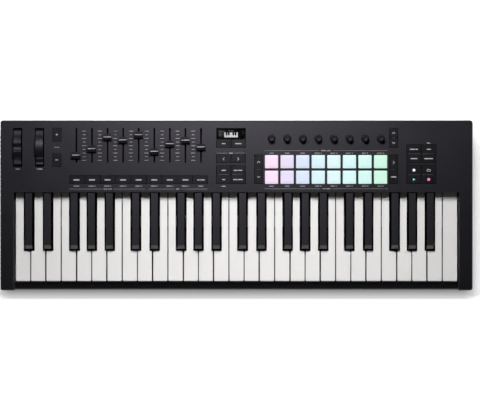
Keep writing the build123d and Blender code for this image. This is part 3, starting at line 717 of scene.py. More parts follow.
# Partly painted shade: the tracks' own black plastic, made darker than the other parts so that the slots
# above them read as dark as their shade.
TRACK_SHADE_PLASTIC = MouldedPlastic("track_black_painted_shade", Slot.COMPONENT, srgb(8, 8, 9), 0.85,
                               worn=srgb(12, 12, 13), dust=0.0, specular=0.1)
BUTTON_RUBBER = SoftRubber("button_soft_black", Slot.BUTTON, srgb(18, 18, 20), 0.36, 0.0,
                           srgb(26, 26, 28), 0.27)
WHEEL_RUBBER = SoftRubber("wheel_soft_black", Slot.WHEEL, srgb(13, 13, 16), 0.35, 0.0, srgb(20, 20, 23), 0.68)
FOOT_RUBBER = SoftRubber("foot_rubber_grey", Slot.FOOT, srgb(38, 38, 40), 0.8)
CONTACT_SILICONE = SoftRubber("contact_silicone_grey", Slot.CONTACT, srgb(150, 152, 150), 0.55,
                              rubbed=srgb(180, 180, 178))
SCREW_STEEL = BrushedMetal("screw_black_steel", Slot.SCREW, srgb(90, 90, 94), 0.35, srgb(58, 58, 62))
SPRING_STEEL = BrushedMetal("spring_bright_steel", Slot.SPRING, srgb(205, 205, 205), 0.3, srgb(150, 150, 150))
SOCKET_STEEL = BrushedMetal("socket_nickel", Slot.SOCKET, srgb(200, 200, 198), 0.28, srgb(140, 140, 138))
CONTACT_GOLD = BrushedMetal("contact_gold", Slot.SOCKET, srgb(230, 190, 110), 0.25, srgb(170, 130, 70))
STOP_FELT = Felt("stop_charcoal_felt", Slot.FELT, srgb(46, 44, 46), 0.85)
BOARD = Laminate("board_black_mask", Slot.BOARD, srgb(12, 15, 14), 0.4, srgb(20, 25, 22))
# The last colour is the painted reflection at the display's left edge.
DISPLAY_GLASS = ScreenGlass("display_black_glass", Slot.DISPLAY, srgb(1, 1, 2), 0.3, srgb(68, 68, 72))
LENS = ClearLens("lens_clear", Slot.LENS, (1.0, 1.0, 1.0), 0.04)
LINE_INK = Ink("printed_line_grey", Slot.CASE, srgb(104, 102, 106))
TICK_INK = Ink("printed_tick_grey", Slot.CASE, srgb(148, 146, 150))
WORD_INK = Ink("printed_mark_pale", Slot.CASE, srgb(150, 149, 152))
POINTER_INK = Ink("pointer_pale_grey", Slot.CAP, srgb(176, 174, 178), 0.45, srgb(120, 120, 122))
PANEL_INK = Ink("panel_divider_grey", Slot.BUTTON, srgb(62, 62, 66), worn=srgb(40, 40, 42))
MARK_LIGHT = LitMark("mark_white_light", Slot.BUTTON, srgb(206, 206, 210), 0.45, 0.75)
WORD_LIGHT = LitMark("mark_word_light", Slot.BUTTON, srgb(188, 188, 192), 0.45, 0.72)
BAR_LIGHT = LitMark("mark_dim_bar", Slot.BUTTON, srgb(166, 165, 169), 0.45, 0.8)
BRIGHT_LIGHT = LitMark("mark_bright_white", Slot.BUTTON, srgb(250, 250, 252), 0.45, 1.0)
PLAY_LIGHT = LitMark("mark_green_light", Slot.BUTTON, srgb(112, 232, 190), 0.45, 0.9)
RECORD_LIGHT = LitMark("mark_pink_light", Slot.BUTTON, srgb(240, 132, 176), 0.45, 0.9)
DISPLAY_LIGHT = LitMark("display_picture_white", Slot.DISPLAY, srgb(226, 226, 230), 0.45, 0.75)
DISPLAY_DIM = LitMark("display_picture_dim", Slot.DISPLAY, srgb(108, 108, 113), 0.45, 0.45)
PAD_SKIRT = SoftRubber("pad_skirt_dark", Slot.PAD, srgb(24, 24, 26), 0.8, 0.0, srgb(28, 28, 30), 0.1)
PAD_GLOWS = tuple(
    GlowingSilicone(f"pad_glow_{at + 1}", Slot.PAD, srgb(*colour))
    for at, colour in enumerate(((254, 223, 251), (232, 221, 250), (218, 231, 254), (217, 246, 255),
                                 (225, 250, 254), (217, 255, 255), (212, 255, 246), (207, 255, 230)))
)


# Meshes
JOIN_DISTANCE = 0.000001


class Shape:
    """A mesh in the making, in millimetres."""

    def __init__(self) -> None:
        """Starts empty."""
        self.points: list[Point3] = []
        self.faces: list[tuple[int, ...]] = []

    def ring(self, points: Iterable[Point3]) -> list[int]:
        """Adds points.

        Args:
            points: The points.

        Returns:
            Their numbers.
        """
        start = len(self.points)
        self.points += list(points)
        return list(range(start, len(self.points)))

    def skin(self, rings: Sequence[Sequence[int]], closed: bool = True) -> None:
        """Joins rings of points, each to the next, with four-sided faces.

        Args:
            rings: Rings of the same length.
            closed: Whether each ring's last point joins its first.
        """
        for low, high in zip(rings, rings[1:]):
            count = len(low)
            for at in range(count if closed else count - 1):
                after = (at + 1) % count
                self.faces.append((low[at], low[after], high[after], high[at]))

    def cap(self, ring: Sequence[int], downward: bool = False) -> None:
        """Closes a ring with one face."""
        self.faces.append(tuple(reversed(ring)) if downward else tuple(ring))

    def solid(self, layers: Iterable[Iterable[Point3]]) -> None:
        """Adds a closed solid through layers of points.

        Args:
            layers: The points of each layer, from the first face to the last.
        """
        rings = [self.ring(points) for points in layers]
        self.skin(rings)
        self.cap(rings[0], True)
        self.cap(rings[-1])

    def loft(self, outlines: Iterable[tuple[Sequence[Point2], float]]) -> None:
        """Adds a closed solid through a stack of (x, y) outlines, each with its height."""
        self.solid([(x, y, z) for x, y in outline] for outline, z in outlines)

    def prism(self, outline: Sequence[Point2], low: float, high: float) -> None:
        """Adds an upright prism from its (x, y) outline, anticlockwise, between two heights."""
        self.loft([(outline, low), (outline, high)])

    def across(self, outline: Sequence[Point2], left: float, right: float) -> None:
        """Adds a prism along X from its outline in (y, z), anticlockwise seen from +X."""
        self.solid([(x, y, z) for y, z in outline] for x in (left, right))

    def block(self, low: Point3, high: Point3) -> None:
        """Adds a straight block between its lowest and its highest corner."""
        outline = [(low[1], low[2]), (high[1], low[2]), (high[1], high[2]), (low[1], high[2])]
        self.across(outline, low[0], high[0])

    def lathe(self, centre: Point3, profile: Sequence[Point2], count: int = 48,
              ripple: Callable[[float, float], float] | None = None) -> None:
        """Adds a turned solid about an upright axis.

        Args:
            centre: Where the axis meets height 0 of the profile.
            profile: (radius, height) from the underside to the top.
            count: Points round the axis.
            ripple: Gives a factor for the radius from the angle and the height.
        """
        layers = []
        for radius, height in profile:
            points = []
            for at in range(count):
                angle = 2 * math.pi * at / count
                reach = radius * (ripple(angle, height) if ripple else 1.0)
                x, y = centre[0] + reach * math.cos(angle), centre[1] + reach * math.sin(angle)
                points.append((x, y, centre[2] + height))
            layers.append(points)
        self.solid(layers)

    def tube(self, centre: Point3, outer: float, inner: float, depth: float, count: int = 40) -> None:
        """Adds a ring along Y.

        Args:
            centre: Middle of its rear face.
            outer: Outer radius.
            inner: Radius of the hole.
            depth: Length, towards the player.
            count: Points round it.
        """
        rings = []
        for radius, y in ((inner, 0.0), (outer, 0.0), (outer, -depth), (inner, -depth), (inner, 0.0)):
            outline = disc((centre[0], centre[2]), radius, count)
            rings.append(self.ring((x, centre[1] + y, z) for x, z in outline))
        self.skin(rings)

    def mesh(self, name: str) -> bpy.types.Mesh:
        """Makes the bare mesh.

        Args:
            name: Name of the mesh.

        Returns:
            The mesh, in metres.
        """
        made = bpy.data.meshes.new(name)
        made.from_pydata([Vector(point) * MM for point in self.points], [], self.faces)
        return made

    def piece(self, name: str, finish: Finish, body: str, *replaced: str,
              smooth: float = 30.0) -> bpy.types.Object:
        """Makes the object, dresses it and lets it ride on a body.

        Args:
            name: Name of the piece.
            finish: Its finish.
            body: The body that it moves with.
            replaced: Nodes that it stands for.
            smooth: Angle up to which edges are shaded smooth, in degrees.

        Returns:
            The object.
        """
        mesh = self.mesh(name)
        work = bmesh.new()
        work.from_mesh(mesh)
        bmesh.ops.remove_doubles(work, verts=work.verts, dist=JOIN_DISTANCE)
        bmesh.ops.recalc_face_normals(work, faces=work.faces)
        work.to_mesh(mesh)
        work.free()
        mesh.shade_smooth()
        mesh.set_sharp_from_angle(angle=math.radians(smooth))
        mesh.materials.append(finish.material())
        made = placed(name, mesh)
        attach(made, body)
        if replaced:
            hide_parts(*replaced)
        LOG.info("built %s: %d faces on %s", name, len(mesh.polygons), body)
        return made


def rounded(centre: Point2, size: Point2, radius: float, steps: int = 5) -> list[Point2]:
    """The outline of a rectangle with round corners, anticlockwise.

    Args:
        centre: Its middle.
        size: Width and depth.
        radius: Radius of the corners.
        steps: Points round each corner, less one.

    Returns:
        The points.
    """
    half = (size[0] / 2 - radius, size[1] / 2 - radius)
    points = []
    for quarter, (side_x, side_y) in enumerate(((1, 1), (-1, 1), (-1, -1), (1, -1))):
        for step in range(steps + 1):
            angle = math.pi / 2 * (quarter + step / steps)
            points.append((centre[0] + side_x * half[0] + radius * math.cos(angle),
                           centre[1] + side_y * half[1] + radius * math.sin(angle)))
    return points


def disc(centre: Point2, radius: float, count: int = 24) -> list[Point2]:
    """The outline of a circle."""
    angles = [2 * math.pi * at / count for at in range(count)]
    return [(centre[0] + radius * math.cos(angle), centre[1] + radius * math.sin(angle)) for angle in angles]


def plus(arm: float, half: float) -> list[Point2]:
    """The outline of a plus sign about the origin, from the length and half the width of its arms."""
    quarter = [(-arm, -half), (-half, -half), (-half, -arm)]
    return [point for turn in range(4) for point in turned(quarter, 90.0 * turn)]


def turned(points: Sequence[Point2], angle: float) -> list[Point2]:
    """Turns points about the origin by an angle in degrees."""
    cosine, sine = math.cos(math.radians(angle)), math.sin(math.radians(angle))
    return [(x * cosine - y * sine, x * sine + y * cosine) for x, y in points]


def shifted(points: Sequence[Point2], centre: Point2) -> list[Point2]:
    """Moves points."""
    return [(x + centre[0], y + centre[1]) for x, y in points]


def band(path: Sequence[Point2], stroke: float) -> list[Point2]:
    """The outline of an open band of even width.

    Args:
        path: The points that it follows.
        stroke: Its width.

    Returns:
        The points.
    """
    left, right = [], []
    for at, (x, y) in enumerate(path):
        before, after = path[max(0, at - 1)], path[min(len(path) - 1, at + 1)]
        run = Vector((after[0] - before[0], after[1] - before[1])).normalized() * (stroke / 2)
        left.append((x - run.y, y + run.x))
        right.append((x + run.y, y - run.x))
    return right + left[::-1]


def placed(name: str, data: bpy.types.ID) -> bpy.types.Object:
    """Adds an object to the scene.

    Args:
        name: Its name.
        data: Its mesh, light or camera.

    Returns:
        The object.
    """
    made = bpy.data.objects.new(name, data)
    bpy.context.scene.collection.objects.link(made)
    return made


def bevelled(piece: bpy.types.Object, width: float, steps: int, angle: float) -> bpy.types.Modifier:
    """Rounds the edges of a piece.

    Args:
        piece: The piece.
        width: Width of the rounding, in millimetres.
        steps: Faces across the rounding.
        angle: Angle from which an edge is rounded, in degrees.

    Returns:
        The modifier.
    """
    bevel = piece.modifiers.new("edges", "BEVEL")
    bevel.width = width * MM
    bevel.segments = steps
    bevel.limit_method = "ANGLE"
    bevel.angle_limit = math.radians(angle)
    return bevel


class Way(Enum):
    """The four ways that an arrow points, as a turn in degrees."""

    RIGHT = 0.0
    UP = 90.0
    LEFT = 180.0
    DOWN = 270.0


@dataclass
class Marks:
    """Flat printed or lit marks on one surface, gathered into one piece."""

    height: float
    thickness: float = 0.06
    shape: Shape = field(default_factory=Shape)

    def plate(self, outline: Sequence[Point2]) -> None:
        """Adds a flat mark from its outline."""
        self.shape.prism(outline, self.height, self.height + self.thickness)

    def bar(self, centre: Point2, size: Point2) -> None:
        """Adds a bar with round ends."""
        self.plate(rounded(centre, size, min(size) * 0.35, 2))

    def line(self, left: float, right: float, y: float, width: float = 0.9) -> None:
        """Adds a straight line along X."""
        self.bar(((left + right) / 2, y), (right - left, width))

    def words(self, centre: Point2, widths: Sequence[float], height: float = 1.5, gap: float = 1.0) -> None:
        """Adds a bar for each word of a label, side by side.

        Args:
            centre: Middle of the label.
            widths: Width of each bar.
            height: Height of the bars.
            gap: Space between two bars.
        """
        left = centre[0] - (sum(widths) + gap * (len(widths) - 1)) / 2
        for width in widths:
            self.bar((left + width / 2, centre[1]), (width, height))
            left += width + gap

    def arrow(self, centre: Point2, way: Way, size: float = 2.2, stroke: float = 0.6) -> None:
        """Adds an open arrowhead.

        Args:
            centre: Its middle.
            way: The way that it points.
            size: Half its height, and its depth.
            stroke: Width of its lines.
        """
        half, inset = size, stroke * 1.41
        points = [(-half / 2, -half), (half / 2, 0.0), (-half / 2, half), (-half / 2 - inset, half),
                  (half / 2 - inset, 0.0), (-half / 2 - inset, -half)]
        self.plate(shifted(turned([(x + inset / 2, y) for x, y in points], way.value), centre))

    def cross(self, centre: Point2, size: float, stroke: float, upright: bool = True) -> None:
        """Adds a plus sign, or a minus sign.

        Args:
            centre: Its middle.
            size: Its width.
            stroke: Width of its lines.
            upright: Whether it has its upright line, as a plus has.
        """
        arm, half = size / 2, stroke / 2
        minus = [(-arm, -half), (arm, -half), (arm, half), (-arm, half)]
        self.plate(shifted(plus(arm, half) if upright else minus, centre))

    def piece(self, name: str, finish: Finish, body: str) -> bpy.types.Object:
        """Makes the object."""
        return self.shape.piece(name, finish, body)


# Sub-assemblies
@dataclass
class Assembly:
    """A group of pieces that is dressed together.
    """

    frame: dict

    def dress(self, node: str, finish: Finish, edge: float = 0.0, steps: int = 2, smooth: float = 32.0,
              others: Sequence[tuple[Finish, Callable[[Vector], bool]]] = (),
              clamp: bool = True) -> bpy.types.Object:
        """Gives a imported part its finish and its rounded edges.

        Args:
            node: Name of the part.
            finish: Its finish.
            edge: Width of the rounding, in millimetres, or 0 for none.
            steps: Faces across the rounding.
            smooth: Angle up to which edges are shaded smooth, in degrees.
            others: Finishes for some faces, each with a test of the face's normal.
            clamp: Whether the rounding stops short of the part's smallest features.

        Returns:
            The part's object.
        """
        part = self.frame["nodes"][node]
        part.data.materials.clear()
        for each in (finish, *(other for other, _ in others)):
            part.data.materials.append(each.material())
        for polygon in part.data.polygons:
            fits = [at for at, (_, test) in enumerate(others, 1) if test(polygon.normal)]
            polygon.material_index = fits[0] if fits else 0
        weld = part.modifiers.new("join", "WELD")
        weld.merge_threshold = 2 * JOIN_DISTANCE
        if edge:
            bevel = bevelled(part, edge, steps, smooth)
            bevel.use_clamp_overlap = clamp
            bevel.harden_normals = True
            bevel.miter_outer = "MITER_ARC"
        if "custom_normal" in part.data.attributes:
            part.data.attributes.remove(part.data.attributes["custom_normal"])
        part.data.shade_smooth()
        LOG.info("dressed %s in %s", node, finish.name)
        return part

    def top(self, node: str) -> float:
        """Height of a part's highest point, in millimetres."""
        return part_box(node)[1].z / MM

    def middle(self, node: str) -> Vector:
        """Middle of a part's box, in millimetres."""
        low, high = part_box(node)
        return (low + high) / 2 / MM


@dataclass
class Case(Assembly):
    """The two case halves, the feet, the screws and everything printed on the deck."""

    deck_edge: float = 0.3
    tick_columns: int = 8
    tick_rows: int = 9
    tick_pitch: float = 5.63
    tick_top: float = 114.5
    tick_lengths: Point2 = (6.5, 4.1)
    tick_stroke: float = 0.9
    first_column: float = -246.7
    column_pitch: float = 24.0
    knob_column: float = 54.0
    label_rows: Point2 = (29.7, 80.5)
    label_height: float = 1.4
    label_seed: int = 49
    fader_labels: tuple[tuple[float, ...], ...] = ((9.0,), *((7.6, 2.0),) * 7, (8.4,))
    knob_labels: Point3 = (6.6, 7.4, 8.2)
    screw_head: float = 3.0
    brackets: tuple[Point3, ...] = (
        (-257.4, -207.6, 25.2), (-189.9, -141.3, 25.2), (-135.1, -95.0, 25.2), (-86.0, -44.1, 25.2),
        (-31.4, -14.0, 80.6), (-3.0, 14.4, 80.6), (43.0, 127.0, 84.4), (149.0, 232.7, 84.4),
        (43.0, 129.5, 25.7), (147.5, 232.7, 25.7),
    )
    labels: tuple[tuple[float, float, tuple[float, ...]], ...] = (
        (-198.7, 25.2, (6.0, 6.4)), (-90.5, 25.2, (5.0,)), (138.0, 84.4, (8.0, 6.4)),
        (138.6, 25.7, (4.6, 6.4)), (-8.4, 80.6, (6.0,)), (-19.7, 29.5, (6.4,)), (296.2, 96.2, (5.4,)),
        (-276.9, 89.5, (8.0,)), (-337.3, 56.0, (6.4,)), (-303.4, 56.0, (9.6,)),
    )

    def build(self) -> None:
        """Dresses the case and prints the deck."""
        self.dress("top_case", PLASTIC, self.deck_edge)
        self.dress("bottom_case", BASE_PLASTIC, 0.5)
        self.dress("rubber_feet", FOOT_RUBBER, 0.4)
        self.scale()
        self.section_lines()
        self.words()
        self.screws()

    def marks(self) -> Marks:
        """Starts marks on the deck."""
        return Marks(self.top("top_case"))

    def scale(self) -> None:
        """Prints the tick marks between the faders."""
        marks = self.marks()
        for column in range(self.tick_columns):
            x = self.first_column + (column + 0.5) * self.column_pitch
            for row in range(self.tick_rows):
                size = (self.tick_lengths[row % 2], self.tick_stroke)
                marks.bar((x, self.tick_top - row * self.tick_pitch), size)
        marks.piece("fader_scale", TICK_INK, "case")

    def section_lines(self) -> None:
        """Prints the lines that bracket the groups of controls."""
        marks = self.marks()
        for left, right, y in self.brackets:
            marks.line(left, right, y)
        marks.piece("section_lines", LINE_INK, "case")

    def words(self) -> None:
        """Prints a bar in the place of each label on the deck."""
        chance = random.Random(self.label_seed)
        marks = self.marks()
        below, above = self.label_rows
        for number, widths in enumerate(self.fader_labels):
            marks.words((self.first_column + number * self.column_pitch, below), widths)
        for number in range(8):
            x = self.knob_column + number * self.column_pitch
            for y in (above, below):
                first = chance.choice(self.knob_labels)
                marks.words((x, y), (first,) if number < 3 else (first, 2.2), self.label_height)
        for x, y, widths in self.labels:
            marks.words((x, y), widths, self.label_height)
        marks.piece("deck_labels", WORD_INK, "case")

    def screws(self) -> None:
        """Models the case screws with round heads and cross recesses."""
        low, high = ([value / MM for value in corner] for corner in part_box("case_screws"))
        head = self.screw_head
        shape = Shape()
        for x in (low[0] + head, 0.0, high[0] - head):
            for y in (low[1] + head, high[1] - head):
                self.screw(shape, (x, y), low[2], high[2])
        shape.piece("case_screws_detailed", SCREW_STEEL, "case", "case_screws")

    def screw(self, shape: Shape, centre: Point2, low: float, high: float) -> None:
        """Adds one screw, head down.

        Args:
            shape: The mesh to add to.
            centre: Its axis.
            low: Height of the head's outer face.
            high: Height of the tip.
        """
        head, shank = self.screw_head - 0.1, 1.45
        recess = plus(1.7, 0.45)
        angles = [math.atan2(y, x) for x, y in recess]
        profile = ((shank, high), (shank, low + 1.2), (head, low + 1.15), (head, low + 0.35),
                   (head - 0.35, low))
        layers = [([(radius * math.cos(angle), radius * math.sin(angle)) for angle in angles], z)
                  for radius, z in profile]
        layers += [(recess, low), (recess, low + 0.8)]
        shape.loft([(shifted(outline, centre), z) for outline, z in layers])


@dataclass
class Keybed(Assembly):
    """The 49 keys and what carries, stops, returns and reads them."""

    white: tuple[str, ...] = ("keys_c", "keys_d", "keys_e", "keys_f", "keys_g", "keys_a", "keys_b")
    black: tuple[str, ...] = ("keys_c_sharp", "keys_d_sharp", "keys_f_sharp", "keys_g_sharp", "keys_a_sharp")
    white_edge: float = 0.9
    black_edge: float = 0.4

    def build(self) -> None:
        """Dresses the keys and the mechanism below them."""
        for node in self.white:
            self.dress(node, WHITE_KEYS, self.white_edge, 3, clamp=False)
        for node in self.black:
            self.dress(node, BLACK_KEYS, self.black_edge, 3, 25.0, (
                # Painted shade: the side faces take the dark, non-reflecting copy of the key plastic.
                (BLACK_FLANK_SHADE, lambda normal: normal.z < 0.55),
                # Painted highlight: the nose faces take the paler copy of the key plastic.
                (BLACK_NOSE_HIGHLIGHT, lambda normal: normal.y < -0.4),
            ))
        self.dress("keybed_chassis", CHASSIS_PLASTIC, 0.3)
        self.dress("key_return_springs", SPRING_STEEL)
        self.dress("key_stop_felts", STOP_FELT, 0.4)
        self.dress("key_contact_board", BOARD)
        self.dress("key_contact_strips", CONTACT_SILICONE, 0.4)


@dataclass
class Knobs(Assembly):
    """The eight knobs, each a skirt and a ribbed grip that narrows to a dished top."""

    count: int = 8
    ribs: int = 30
    rib_depth: float = 0.035
    height: float = 12.5
    shaft: float = 2.9

    def build(self) -> None:
        """Models every knob and dresses the encoders."""
        for number in range(1, self.count + 1):
            self.knob(f"knob_{number}")
        self.dress("encoder_bodies", COMPONENT_PLASTIC, 0.3)

    def ripple(self, angle: float, height: float) -> float:
        """Gives the ribs round the grip, which stop short of both its ends.

        Args:
            angle: Angle round the knob, in radians.
            height: Height above its lower edge.

        Returns:
            The factor of the radius.
        """
        if not 1.6 < height < 11.2:
            return 1.0
        return 1.0 - self.rib_depth * (0.5 - 0.5 * math.cos(self.ribs * angle))

    def knob(self, node: str) -> None:
        """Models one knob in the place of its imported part.

        Args:
            node: Name of the part and of its body.
        """
        low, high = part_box(node)
        base = high.z / MM - self.height
        profile = [(self.shaft, low.z / MM - base), (self.shaft, 0.0), (5.7, 0.0), (5.95, 0.15), (6.0, 0.5),
                   (5.95, 1.0), (5.75, 1.25), (5.72, 1.7), (5.66, 2.2), (5.1, 7.4), (4.8, 10.6), (4.74, 11.3),
                   (4.62, 11.8), (4.4, 12.2), (4.1, 12.42), (3.7, self.height), (3.3, 12.44), (2.6, 12.3),
                   (1.2, 12.18), (0.3, 12.15)]
        shape = Shape()
        centre = ((low.x + high.x) / 2 / MM, (low.y + high.y) / 2 / MM, base)
        shape.lathe(centre, profile, self.ribs * 4, self.ripple)
        shape.piece(f"{node}_detailed", KNOB_PLASTIC, node, node, smooth=50.0)


@dataclass
class Faders(Assembly):
    """The nine fader caps with their pointers and blades, and the tracks below."""

    count: int = 9
    cap: Point3 = (14.0, 9.5, 8.6)
    ear: float = 1.0
    ridge: float = 1.7
    scoop: float = 2.7
    crown: float = 0.9
    shoulder: Point2 = (0.35, 3.4)
    inlay: Point2 = (0.15, 0.13)
    line_margin: Point2 = (0.3, 0.7)
    blade: Point2 = (1.4, 4.0)
    rounding: float = 0.25

    def build(self) -> None:
        """Models every cap and dresses the tracks."""
        for number in range(1, self.count + 1):
            self.fader(f"fader_{number}")
        # The tracks' finish is darker than their own black: painted shade inside the slots.
        self.dress("fader_tracks", TRACK_SHADE_PLASTIC, 0.2)

    def side(self, y: float, top: float, hollow: bool) -> list[Point2]:
        """The outline of a slice across the cap, in (y, z).

        Args:
            y: Middle of the cap.
            top: Height of its top.
            hollow: Whether the slice is scooped for the finger.

        Returns:
            The points, anticlockwise seen from +X.
        """
        low, half = top - self.cap[2], self.cap[1] / 2
        lean, wall = self.shoulder
        points = [(y - half, low), (y + half, low), (y + half, top - wall)]
        steps = 8
        for at in range(steps + 1):
            share = at / steps
            drop = self.scoop * (1 - share) ** 1.7 if hollow else self.crown * (1 - share) ** 3
            reach = half - lean - share * (half - lean - self.ridge / 2)
            points.append((y + reach, top - self.inlay[0] - drop))
        points += [(2 * y - place, z) for place, z in reversed(points[2:])]
        return points

    def fader(self, node: str) -> None:
        """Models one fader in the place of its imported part.

        Args:
            node: Name of the part and of its body.
        """
        low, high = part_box(node)
        x, y = (low.x + high.x) / 2 / MM, (low.y + high.y) / 2 / MM
        top, half = high.z / MM, self.cap[0] / 2
        shape = Shape()
        shape.across(self.side(y, top, False), x - half, x - half + self.ear)
        shape.across(self.side(y, top, True), x - half + self.ear, x + half - self.ear)
        shape.across(self.side(y, top, False), x + half - self.ear, x + half)
        shape.prism(rounded((x, y), self.blade, 0.3, 2), low.z / MM, top - self.cap[2])
        cap = shape.piece(f"{node}_detailed", CAP_PLASTIC, node, node, smooth=35.0)
        bevelled(cap, self.rounding, 2, 40.0)
        pointer = Marks(top - self.inlay[0], self.inlay[1])
        width, depth = self.cap[0] - 2 * self.ear, self.ridge
        pointer.bar((x, y), (width - self.line_margin[0], depth - self.line_margin[1]))
        pointer.piece(f"{node}_pointer", POINTER_INK, node)


@dataclass
class Pads(Assembly):
    """Sixteen lit silicone pads, each with a step inside its rim."""

    size: float = 20.8
    rim: float = 2.4
    step: float = 0.7
    pitch: float = 24.0
    corner: float = 1.3

    def build(self) -> None:
        """Models the pads, one piece for each column's colour."""
        low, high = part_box("pads")
        rows = (high.y / MM - self.size / 2, low.y / MM + self.size / 2)
        skirts = Shape()
        for column, finish in enumerate(PAD_GLOWS):
            shape = Shape()
            x = low.x / MM + self.size / 2 + column * self.pitch
            for y in rows:
                self.pad(shape, (x, y), low.z / MM, high.z / MM)
                self.skirt(skirts, (x, y), low.z / MM, high.z / MM)
            shape.piece(f"pads_column_{column + 1}", finish, "pads", "pads", smooth=40.0)
        skirts.piece("pad_skirts", PAD_SKIRT, "pads")

    def pad(self, shape: Shape, centre: Point2, low: float, high: float) -> None:
        """Adds one pad.

        Args:
            shape: The mesh to add to.
            centre: Its middle.
            low: Height of its underside.
            high: Height of its top.
        """
        layers = []
        foot, rim = high - self.step, self.rim
        for inset, z in ((0.25, low), (0.25, foot - 0.5), (0.35, foot - 0.15), (0.6, foot),
                         (rim - 0.3, foot - 0.05), (rim, foot + 0.1), (rim + 0.35, high - 0.12),
                         (rim + 0.8, high), (rim + 3, high)):
            side = self.size - 2 * inset
            layers.append((rounded(centre, (side, side), max(0.5, self.corner - inset * 0.4)), z))
        shape.loft(layers)

    def skirt(self, shape: Shape, centre: Point2, low: float, high: float) -> None:
        """Adds the dark skirt that keeps a pad's light from its neighbours.

        Args:
            shape: The mesh to add to.
            centre: The pad's middle.
            low: Height of the pad's underside.
            high: Height of the pad's top.
        """
        rim = high - self.step - 0.3
        inner, outer = (rounded(centre, (side, side), self.corner) for side in (self.size - 0.46, self.size))
        ring = [(inner, low), (outer, low), (outer, rim), (inner, rim), (inner, low)]
        shape.skin([shape.ring((x, y, z) for x, y in outline) for outline, z in ring])


